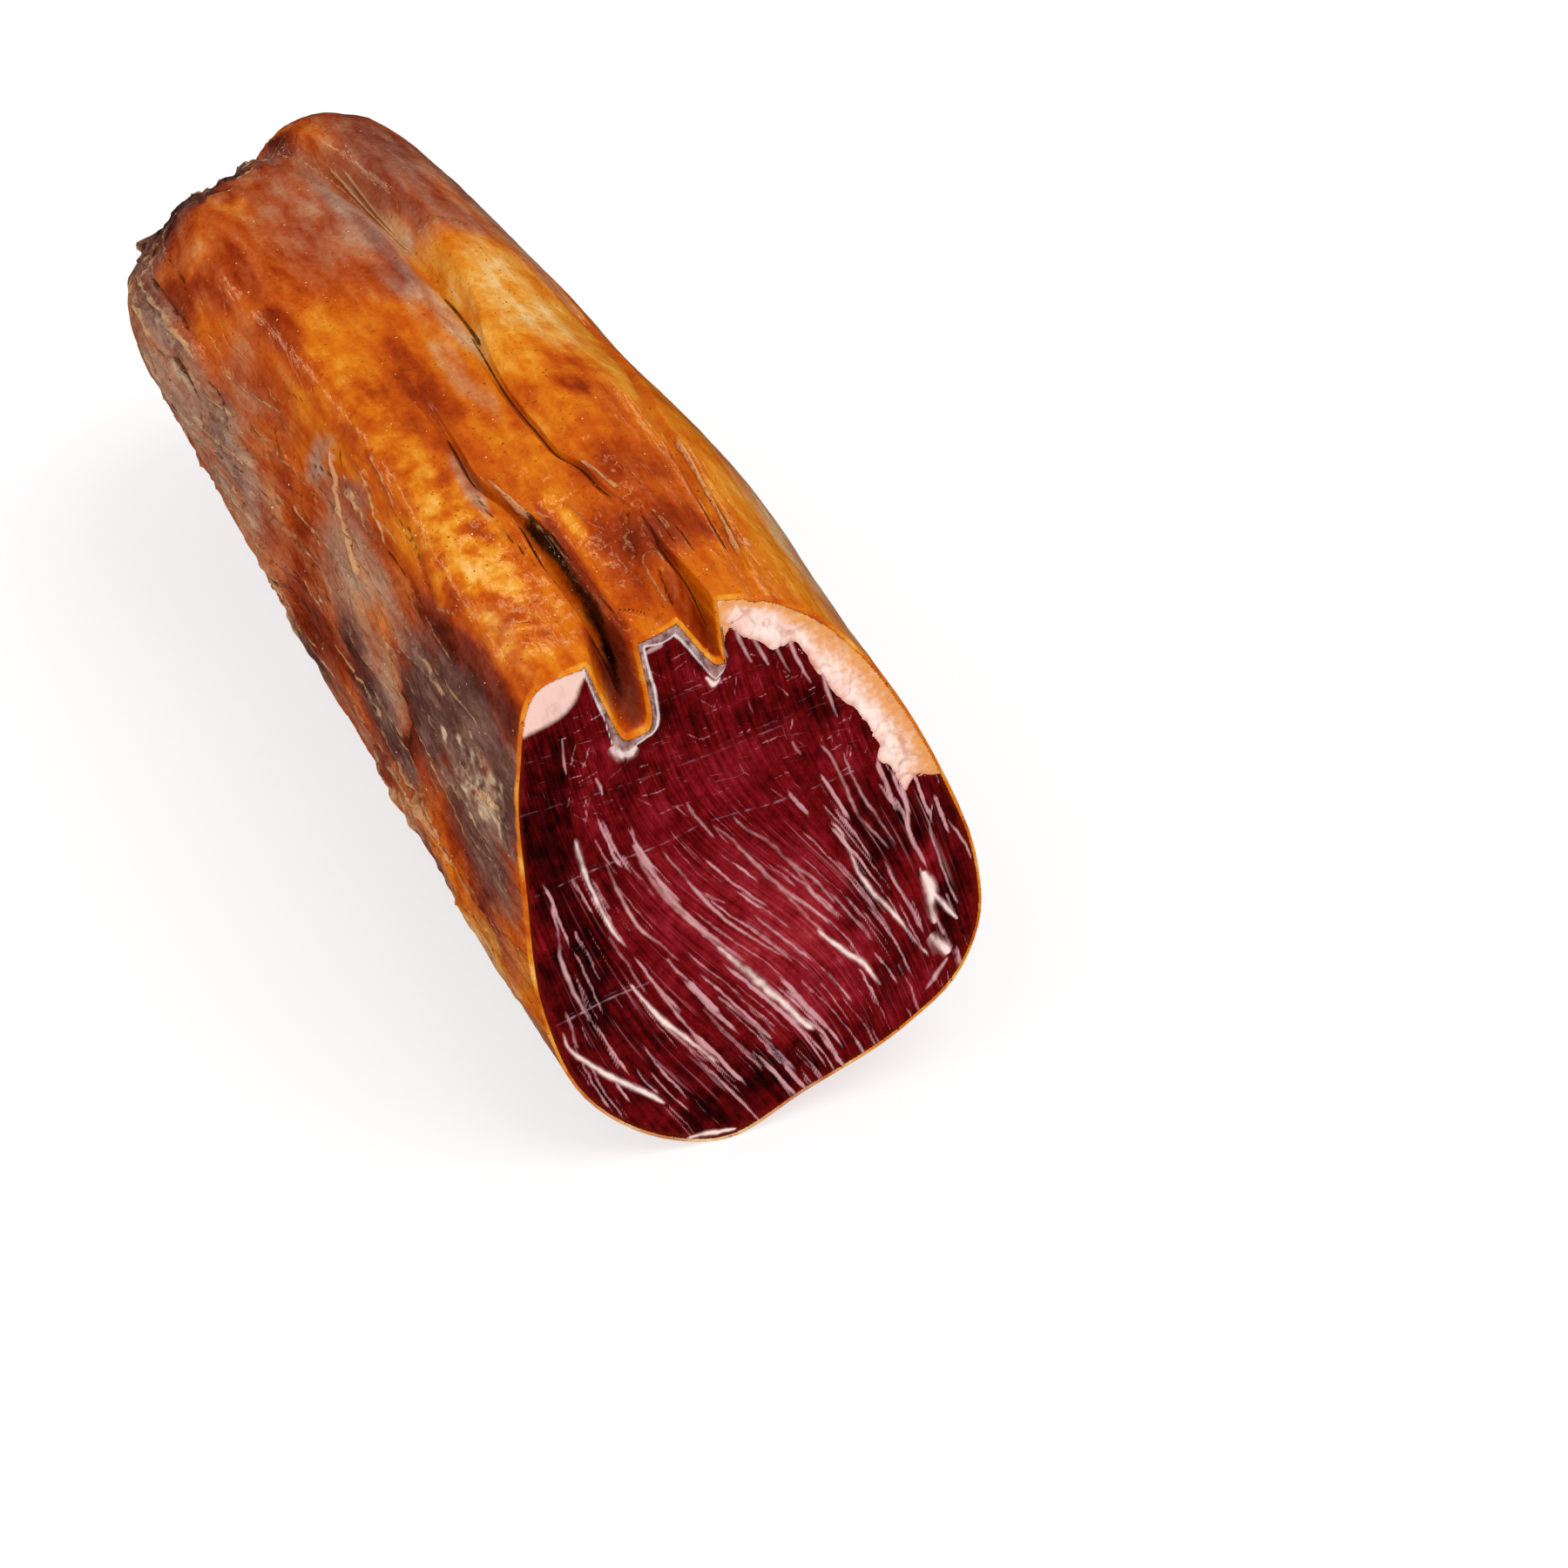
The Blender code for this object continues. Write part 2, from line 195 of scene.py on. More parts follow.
# Points round a section between its marks, and sections along the length, with the distance
# from which they crowd together where the far end turns in
ROUND_STEPS = (12, 112, 14, 16, 22, 24, 22, 22, 14, 14, 38, 38)
FLANK_FROM = 0.12
ROOF_END = 0.655
NEAR_ROWS = 124
NEAR_END = 78.0
FAR_ROWS = 110
TURN_FROM = 200.0
END_ROWS = 36

# The casing's edge at the cut, from its outer side in: how far in, how far behind the cut
RIM = ((0.0, 0.55), (0.08, 0.15), (0.22, 0.0), (0.42, 0.02), (0.58, 0.2), (0.66, 2.6))
LEAN_INSET = 0.42
LEAN_BEHIND = 0.16
PLATE_THICK = 1.9
CELL = 0.25

# The fat's lower edge on the cut, from the top to the right side
FAT_EDGE = (
    (5.2, 84.0), (6.3, 81.0), (7.4, 83.6), (9.6, 81.7), (12.7, 79.9), (14.0, 78.2),
    (17.4, 79.0), (19.9, 75.1), (21.8, 71.7), (23.4, 69.5), (26.1, 66.3), (28.4, 62.9),
    (29.5, 59.3), (28.9, 57.2), (31.3, 54.8), (33.6, 50.9), (35.3, 52.9), (38.7, 52.1),
    (46.0, 51.0),
)
FAT_BEYOND = ((55.0, 51.0), (55.0, 96.0), (4.0, 96.0))
FAT_FROM = (4.0, 48.0)

# Marbling on the cut: widest in mm, where it is widest along the line, and the line
VEINS = (
    (1.5, 0.15, ((-21, 57), (-20.5, 53), (-19.5, 48), (-18, 43), (-16.5, 39), (-14, 35))),
    (0.8, 0.3, ((-14, 35), (-12, 31), (-9, 25), (-6.5, 20.5), (-3, 14.5), (-1, 12))),
    (0.9, 0.3, ((-17, 52), (-15.5, 47), (-14, 42.5), (-12.5, 39), (-9.5, 35.5), (-6, 31))),
    (1.5, 0.45, ((-15.5, 31), (-13.5, 27.5), (-11, 23.5), (-8, 20), (-4.5, 16), (-2, 12.5))),
    (1.1, 0.35, ((-12, 57), (-11.5, 53.5), (-9.5, 48.5), (-7, 43), (-4, 38.5), (0, 33))),
    (2.6, 0.55, ((-1, 34), (2, 30), (5, 26.5), (7.5, 23), (10, 20), (12.5, 16.5), (15, 14))),
    (1.1, 0.3, ((-12, 52.5), (-10, 47), (-7.5, 42.5), (-5, 39), (-1.5, 34.5), (1.5, 30.5))),
    (0.9, 0.4, ((4, 54.5), (6.5, 51), (10.5, 47.5), (13, 44), (17.5, 39), (20.5, 34))),
    (1.0, 0.6, ((0.5, 53.5), (4, 50), (7, 45.5), (11.5, 39.5), (15, 34), (18.5, 29.5))),
    (1.7, 0.55, ((16, 32), (18.5, 29), (21.5, 26), (23.5, 24), (25, 21.5), (26.5, 18.5))),
    (0.8, 0.4, ((-8, 51.5), (-4.5, 46), (-1.5, 41), (2, 36.5), (6.5, 32), (11.5, 27.5))),
    (1.5, 0.5, ((20, 50), (22, 46.5), (24.5, 39), (27, 34.5), (30.5, 29.5), (33, 25), (35.5, 21))),
    (1.0, 0.4, ((19.5, 62.5), (21.5, 60), (23.5, 54.5), (25.5, 48.5), (28.5, 44), (30.5, 41))),
    (0.8, 0.4, ((23.5, 60.5), (25, 55.5), (27.5, 49.5), (30.5, 43.5), (31.5, 41.5))),
    (1.0, 0.5, ((34.5, 38), (35.5, 33), (37, 27.5), (38, 24.5))),
    (0.7, 0.5, ((38, 48.5), (37, 43.5), (38, 39), (39.5, 33), (41, 29))),
    (0.6, 0.5, ((40, 45), (41.5, 42), (43, 39), (43.6, 36.5))),
    (1.0, 0.6, ((-26, 47.5), (-25.5, 41.5), (-25.5, 37), (-24.5, 32), (-23, 28), (-22, 24.5))),
    (1.7, 0.7, ((-27, 26), (-26, 22), (-22.5, 18), (-18, 14), (-14, 11), (-11, 8))),
    (0.7, 0.5, ((-14.5, 30), (-12.5, 26), (-10, 21.5), (-6.5, 17), (-3, 13))),
    (1.0, 0.5, ((-1.5, 25), (1.5, 21.5), (5, 17.5), (7.5, 14.5))),
    (0.7, 0.5, ((-21, 72.5), (-21, 68.5), (-21, 66))),
    (0.7, 0.4, ((-16.5, 65), (-15.5, 61.5))),
    (0.8, 0.5, ((15.5, 63.5), (17, 60.5))),
    (1.1, 0.2, ((5.0, 86.0), (6.0, 81.5), (6.8, 78.5))),
    (1.2, 0.2, ((7.8, 86), (9.3, 80.5), (10.6, 77))),
    (1.2, 0.2, ((10.2, 84.5), (12.0, 79.0), (13.4, 76))),
    (1.0, 0.2, ((13.2, 82.5), (15.4, 77), (16.8, 74))),
    (1.0, 0.2, ((16.5, 81), (18.4, 75), (20, 71.5))),
    (1.0, 0.2, ((21.5, 74.5), (22.6, 69), (23.6, 65))),
    (1.3, 0.4, ((-9.5, 1.9), (-6.5, 2.0), (-3.5, 1.6), (0, 1.3))),
    (1.2, 0.4, ((33.5, 16.5), (36, 19.0), (38.2, 21.5))),
    (1.1, 0.3, ((32.5, 55), (33, 52), (33.5, 48), (33.5, 44), (34.5, 40))),
    (0.7, 0.5, ((12, 18), (15.5, 14), (18, 9))),
    (0.8, 0.5, ((10.5, 47), (14.5, 41.5), (17.5, 36), (21, 31.5))),
    (3.2, 0.35, ((34.8, 37), (36.3, 33.5), (36.0, 30.5), (36.4, 27))),
    (4.0, 0.6, ((35.2, 26), (37, 23.5), (38.5, 21.8))),
    (3.4, 0.5, ((-13.6, 69.4), (-12.4, 67.8), (-10.6, 67.4), (-9.2, 68.6))),
    (1.4, 0.5, ((2.8, 77.0), (4.2, 75.4), (5.4, 76.4))),
    (1.2, 0.5, ((-6.6, 82.4), (-5.0, 83.0), (-3.0, 83.2))),
    (1.6, 0.5, ((36.5, 33), (38.5, 30), (40.5, 27))),
)

# Veins wider than this in mm have white middles
WIDE_VEIN = 1.2
LACE_COUNT = 190
SCRATCH_COUNT = 190

# Shades of the lean: kind, place across and up, half width and height in mm, turn, strength
LEAN_PATCHES = (
    ("bright", 2, 42, 16, 12, -30, 0.48), ("bright", 10, 30, 18, 12, -40, 0.38),
    ("bright", 0, 60, 14, 5, 10, 0.3), ("bright", 20, 22, 12, 10, -40, 0.3),
    ("bright", -12, 66, 10, 4, 0, 0.15), ("bright", 5, 74, 8, 5, 0, 0.15),
    ("bright", 22, 57, 8, 4, 20, 0.2),
    ("bruise", -25, 52, 4, 12, 0, 0.9), ("bruise", -23, 33, 6, 10, 0, 0.75),
    ("bruise", -16, 18, 8, 7, -40, 0.55), ("bruise", 2, 8, 16, 4, 20, 0.75),
    ("bruise", -20, 40, 3, 8, 0, 0.5), ("bruise", 30, 47, 6, 8, 0, 0.5),
    ("bruise", 27, 36, 4, 8, -20, 0.5), ("bruise", 40, 33, 3, 10, 0, 0.7),
    ("bruise", 29, 22, 4, 6, -30, 0.6), ("bruise", -6, 72, 7, 4, 10, 0.5),
    ("bruise", -24, 66, 4, 6, 0, 0.6), ("bruise", 12, 69, 8, 2.5, 10, 0.45),
    ("bruise", 22, 70, 4, 4, 0, 0.4), ("bruise", -10, 62, 6, 2, 10, 0.3),
    ("bruise", 18, 13, 8, 4, 30, 0.5), ("bruise", 36, 45, 4, 5, 0, 0.5),
)

# How much lighter each kind of shade makes the lean
LEAN_KINDS = {"bright": 0.34, "bruise": -0.26}

# Pale lines that the saw left across the cut: width in mm, strength and line
SAW_MARKS = (
    (0.30, 0.55, ((-29, 61.5), (-13.5, 62.5), (0, 64), (19, 67))),
    (0.30, 0.75, ((-28.5, 48), (-16.5, 50.5), (-8, 51.5), (0.5, 53.5), (11.5, 54), (27.5, 56.5))),
    (0.34, 1.0, ((-29, 26), (-24, 27.2), (-19.5, 28.4), (-12, 29.6))),
    (0.26, 0.5, ((-28.5, 69.5), (-23, 70))),
    (0.26, 0.45, ((4, 65.5), (12, 67), (24, 68.5))),
    (0.24, 0.4, ((-8, 74), (3, 75.5), (14, 77))),
    (0.22, 0.35, ((-28.5, 37.5), (-20, 38.5))),
)

# Lower edge of the small patch of fat at the upper left of the cut, and the rest of its area
TALLOW_EDGE = ((-30.0, 72.2), (-27.5, 73.1), (-24.3, 73.9), (-20.7, 75.0), (-17.8, 77.2),
               (-16.2, 80.5))
TALLOW_BEYOND = ((-16.2, 92.0), (-34.0, 92.0), (-34.0, 72.0))

# Jelly along the casing where it dips into the cut: place across and thickness in mm
JELLY = (
    (-19.5, 0.0), (-17.6, 0.4), (-16.0, 0.6), (-14.0, 0.8), (-12.6, 2.3), (-11.0, 2.5),
    (-9.4, 1.0), (-7.6, 0.7), (-6.0, 0.9), (-3.6, 1.5), (-1.6, 1.4), (0.6, 1.1), (2.6, 1.3),
    (4.4, 2.2), (5.6, 1.3), (6.6, 0.0),
)

# Patches of colour on the casing, by kind: share round, distance from the cut, half width
# and half length in mm, turn in degrees, and strength
PATCHES = {
    "light": (
        (0.372, 58, 4.0, 18, 0, 0.45), (0.381, 34, 4.0, 12, 3, 0.6), (0.368, 26, 4.0, 6, 0, 0.35),
        (0.368, 10, 4.0, 10, -4, 0.3), (0.374, 84, 4, 12, 0, 0.2), (0.475, 112, 6, 26, 0, 0.7),
        (0.470, 76, 5, 10, 0, 0.35), (0.505, 126, 12, 24, 0, 1.0), (0.478, 158, 3.5, 12, 0, 0.7),
        (0.435, 60, 3.5, 14, 5, 0.3), (0.4395, 38, 1.3, 6.5, 5, 0.9), (0.53, 90, 5, 30, 0, 0.5),
        (0.345, 130, 5, 12, 10, 0.3), (0.385, 134, 4, 12, 0, 0.35), (0.350, 198, 3, 10, 0, 0.4),
        (0.56, 36, 10, 50, 0, 0.5), (0.330, 172, 4, 12, 0, 0.3), (0.165, 40, 9, 12, 15, 0.6),
        (0.150, 22, 7, 20, 10, 0.6), (0.160, 74, 2.5, 8, -20, 0.7), (0.345, 62, 2, 8, 0, 0.4),
        (0.480, 172, 3.0, 12, 0, 0.9), (0.495, 148, 5, 8, 0, 0.5), (0.420, 198, 7, 16, 0, 0.1),
        (0.535, 182, 3, 16, 0, 0.4), (0.316, 236, 4, 4, 0, 0.8), (0.250, 132, 10, 7, 0, 0.45),
        (0.290, 122, 6, 6, 0, 0.4), (0.205, 136, 7, 5, 0, 0.4), (0.222, 111, 6, 10, 0, 0.4),
        (0.385, 212, 3, 12, 0, 0.5), (0.355, 178, 3, 20, 0, 0.5), (0.482, 216, 2, 8, 0, 0.3),
        (0.598, 36, 4, 40, 0, 0.4),
    ),
    "russet": (
        (0.337, 22, 3.6, 30, 3, 1.0), (0.330, 45, 3, 12, 10, 0.8), (0.413, 108, 3.6, 20, 0, 1.0),
        (0.489, 83, 2.4, 4.5, 20, 0.9), (0.486, 50, 7, 9, 0, 0.7), (0.478, 26, 11, 12, 0, 0.8),
        (0.445, 16, 4, 9, 0, 0.75), (0.362, 178, 2.6, 18, 0, 1.0), (0.360, 146, 3, 14, 0, 0.8),
        (0.385, 218, 3, 11, 0, 0.9), (0.235, 58, 8, 5, 0, 0.9), (0.18, 15, 8, 5, 10, 0.9),
        (0.155, 84, 6, 12, 30, 0.8), (0.195, 118, 16, 20, 0, 0.95), (0.270, 122, 9, 10, -20, 0.8),
        (0.325, 190, 3, 16, 0, 0.9), (0.345, 210, 4, 20, 0, 0.8), (0.462, 232, 3, 10, 0, 0.9),
        (0.205, 96, 6, 14, 10, 0.8), (0.325, 70, 2, 24, 6, 0.5), (0.398, 88, 2, 14, 0, 0.5),
        (0.350, 92, 2.4, 14, 0, 0.4), (0.330, 140, 5, 12, 0, 0.4), (0.520, 205, 12, 34, 0, 0.35),
        (0.455, 160, 2, 14, 0, 0.5), (0.405, 170, 8, 24, 0, 0.3), (0.440, 148, 5, 10, 0, 0.5),
        (0.496, 190, 2.0, 24, 0, 0.6), (0.357, 133, 3, 12, 0, 0.8), (0.366, 146, 2.4, 11, 0, 0.9),
        (0.347, 180, 6, 13, 0, 1.0), (0.39, 188, 10, 28, 0, 0.25), (0.36, 234, 22, 5, 0, 0.5),
        (0.425, 205, 12, 34, 0, 0.1), (0.36, 192, 14, 46, 0, 0.35), (0.205, 212, 16, 24, 0, 0.35),
        (0.190, 30, 8, 14, 0, 0.5), (0.325, 158, 4, 10, 0, 0.3),
    ),
    "brown": (
        (0.525, 195, 14, 42, 0, 1.0), (0.432, 156, 8, 20, 0, 0.5), (0.23, 136, 26, 12, 0, 0.9),
        (0.200, 112, 22, 26, 0, 0.8), (0.47, 24, 9, 9, 0, 0.6), (0.18, 14, 12, 10, 20, 0.9),
        (0.33, 205, 10, 26, 0, 0.4), (0.34, 238, 26, 14, 0, 0.9), (0.335, 20, 4, 30, 0, 0.8),
        (0.10, 90, 18, 160, 0, 0.8), (0.31, 92, 5, 30, 4, 0.8), (0.490, 40, 10, 10, 0, 0.4),
        (0.19, 70, 10, 30, 0, 0.9), (0.32, 135, 8, 14, 0, 0.6), (0.385, 226, 12, 14, 0, 0.8),
        (0.16, 45, 14, 30, 0, 0.5), (0.512, 166, 10, 14, 0, 1.0), (0.448, 148, 5, 14, 0, 0.8),
        (0.430, 195, 13, 50, 0, 1.0), (0.366, 14, 4, 16, 0, 0.45), (0.195, 206, 26, 36, 0, 0.9),
        (0.36, 190, 14, 46, 0, 0.45),
    ),
    # Lilac grey: partly the casing's colour, and on the left side a painted reflection of the pale
    # floor
    "lilac_and_floor_reflection": (
        (0.285, 38, 11, 24, 3, 1.0), (0.260, 46, 11, 14, 0, 1.0), (0.310, 20, 5, 26, 0, 1.0),
        (0.290, 6, 12, 12, 0, 0.95), (0.235, 20, 9, 20, 0, 0.9), (0.200, 72, 6, 20, 0, 0.9),
        (0.225, 92, 5, 10, 0, 0.7), (0.265, 157, 10, 5, 20, 0.7), (0.35, 246, 30, 8, 0, 0.9),
        (0.365, 229, 5, 10, 0, 0.7), (0.304, 204, 2.6, 34, 0, 0.6), (0.26, 242, 24, 14, 0, 0.9),
        (0.330, 90, 2, 8, 10, 0.4), (0.37, 233, 26, 7, 0, 0.9), (0.270, 168, 10, 14, 0, 0.3),
        (0.140, 128, 6, 12, 0, 0.8), (0.140, 56, 5, 14, 0, 0.6), (0.320, 228, 10, 12, 0, 0.7),
    ),
    # Tan; the long patches past 0.59 round are a painted sheen down the right side
    "tan": (
        (0.399, 66, 1.6, 14, -3, 0.8), (0.437, 100, 2.4, 20, 0, 0.5),
        (0.457, 186, 3.2, 36, 0, 0.85), (0.4575, 135, 2.2, 28, 0, 0.8),
        (0.505, 122, 10, 26, 0, 0.3), (0.290, 200, 8, 34, 0, 0.8), (0.270, 182, 10, 30, 0, 1.0),
        (0.480, 186, 5, 28, 0, 0.45), (0.245, 152, 24, 10, 0, 0.95), (0.20, 166, 16, 22, 0, 0.9),
        (0.262, 20, 7, 14, 0, 0.9), (0.236, 36, 3, 6, 10, 0.7), (0.275, 92, 10, 20, 14, 0.9),
        (0.295, 74, 5, 18, 0, 0.8), (0.448, 176, 3, 40, 0, 0.3), (0.448, 130, 3, 22, 0, 0.35),
        (0.240, 74, 9, 14, 0, 0.9), (0.602, 50, 9, 70, 0, 0.85), (0.13, 150, 10, 40, 0, 0.7),
        (0.322, 112, 5, 7, 40, 0.8), (0.120, 16, 6, 30, 0, 0.7), (0.148, 100, 5, 30, 0, 0.6),
        (0.560, 172, 5, 54, 0, 0.7), (0.595, 100, 6, 80, 0, 0.5), (0.440, 112, 3, 10, 0, 0.5),
        (0.480, 192, 3, 14, 0, 0.4), (0.508, 200, 9, 34, 0, 0.35),
    ),
    "cream": (
        (0.479, 172, 2.2, 10, 0, 0.7), (0.316, 237, 3, 3, 0, 0.6), (0.303, 200, 1.2, 32, 0, 0.6),
        (0.328, 104.5, 3.0, 2.0, 30, 0.6), (0.274, 18, 7, 13, 0, 0.75), (0.236, 38, 2, 2, 0, 0.8),
        (0.271, 35, 1.6, 2.2, 10, 0.9), (0.280, 28.3, 1.3, 1.3, 0, 0.9),
        (0.267, 21, 4, 1.5, 10, 1.0), (0.284, 22.6, 2, 1.2, -20, 0.8),
        (0.297, 22, 1.2, 1, 0, 0.7), (0.28, 12, 4.5, 1.6, 20, 0.8), (0.262, 8, 2, 1.5, 0, 0.8),
        (0.290, 8, 1.5, 1.5, 0, 0.8), (0.274, 16, 3, 1.2, 10, 0.8), (0.4795, 167, 2.4, 5, 0, 1.0),
        (0.532, 22, 0.7, 2, -20, 0.9), (0.265, 12, 1.5, 2.5, 10, 0.7),
        (0.255, 24, 1.5, 2.0, 0, 0.6),
    ),
    # Painted shade in folds and hollows, and a few dark stains
    "stain_and_fold_shade": (
        (0.4785, 191, 2.0, 9, 0, 0.5), (0.4800, 181, 1.0, 2.4, 0, 0.5),
        (0.316, 198, 1.4, 26, 0, 0.45), (0.254, 29, 2.4, 2, 0, 0.6),
        (0.273, 18.5, 3, 1.2, 0, 0.7), (0.272, 5.0, 5, 1.4, 10, 0.7), (0.250, 10.5, 2, 2, 0, 0.6),
        (0.300, 13, 4, 8, 0, 0.5), (0.222, 40, 1.4, 9, 0, 0.6), (0.237, 60, 8, 2.5, 0, 0.7),
        (0.155, 76, 2.5, 6, 20, 0.7), (0.477, 189, 2.0, 2.6, 0, 0.5),
        (0.484, 184, 1.4, 1.4, 0, 0.5), (0.270, 155, 9, 1.6, 20, 0.6),
        (0.320, 187, 1.6, 9, 0, 0.6), (0.362, 182, 1.5, 9, 0, 0.4), (0.462, 234, 2, 7, 0, 0.7),
        (0.140, 128, 3, 6, 0, 0.6), (0.285, 164, 3, 2, 0, 0.6),
    ),
    # Painted shade on the walls of the grooves near the cut
    "groove_shade": (
        (0.4262, 26, 1.3, 24, 0, 0.8), (0.420, 6, 4.0, 7, 0, 1.0), (0.4685, 5, 2.6, 8, 0, 0.6),
    ),
    "blotch": (
        (0.373, 40, 7.5, 46, 0, 1.0), (0.373, 100, 7, 30, 0, 0.5), (0.495, 110, 14, 40, 0, 0.35),
        (0.165, 36, 10, 26, 0, 0.6), (0.437, 66, 5, 20, 0, 0.4),
    ),
}

# What each kind of patch does to the casing: how much lighter it gets, and how much greyer
PATCH_KINDS = {
    "light": (0.30, 0.0), "russet": (-0.26, 0.0), "brown": (-0.06, 0.45),
    "lilac_and_floor_reflection": (-0.19, 0.92), "tan": (0.08, 0.72), "groove_shade": (-0.34, 0.34), "blotch": (0.0, 0.0),
}

# Past this distance, and over this span, the patches fade into one colour at the far end
FADE_FROM = 235.0
FADE_SPAN = 8.0
FADED = {"tone": 0.46, "veil": 0.5}
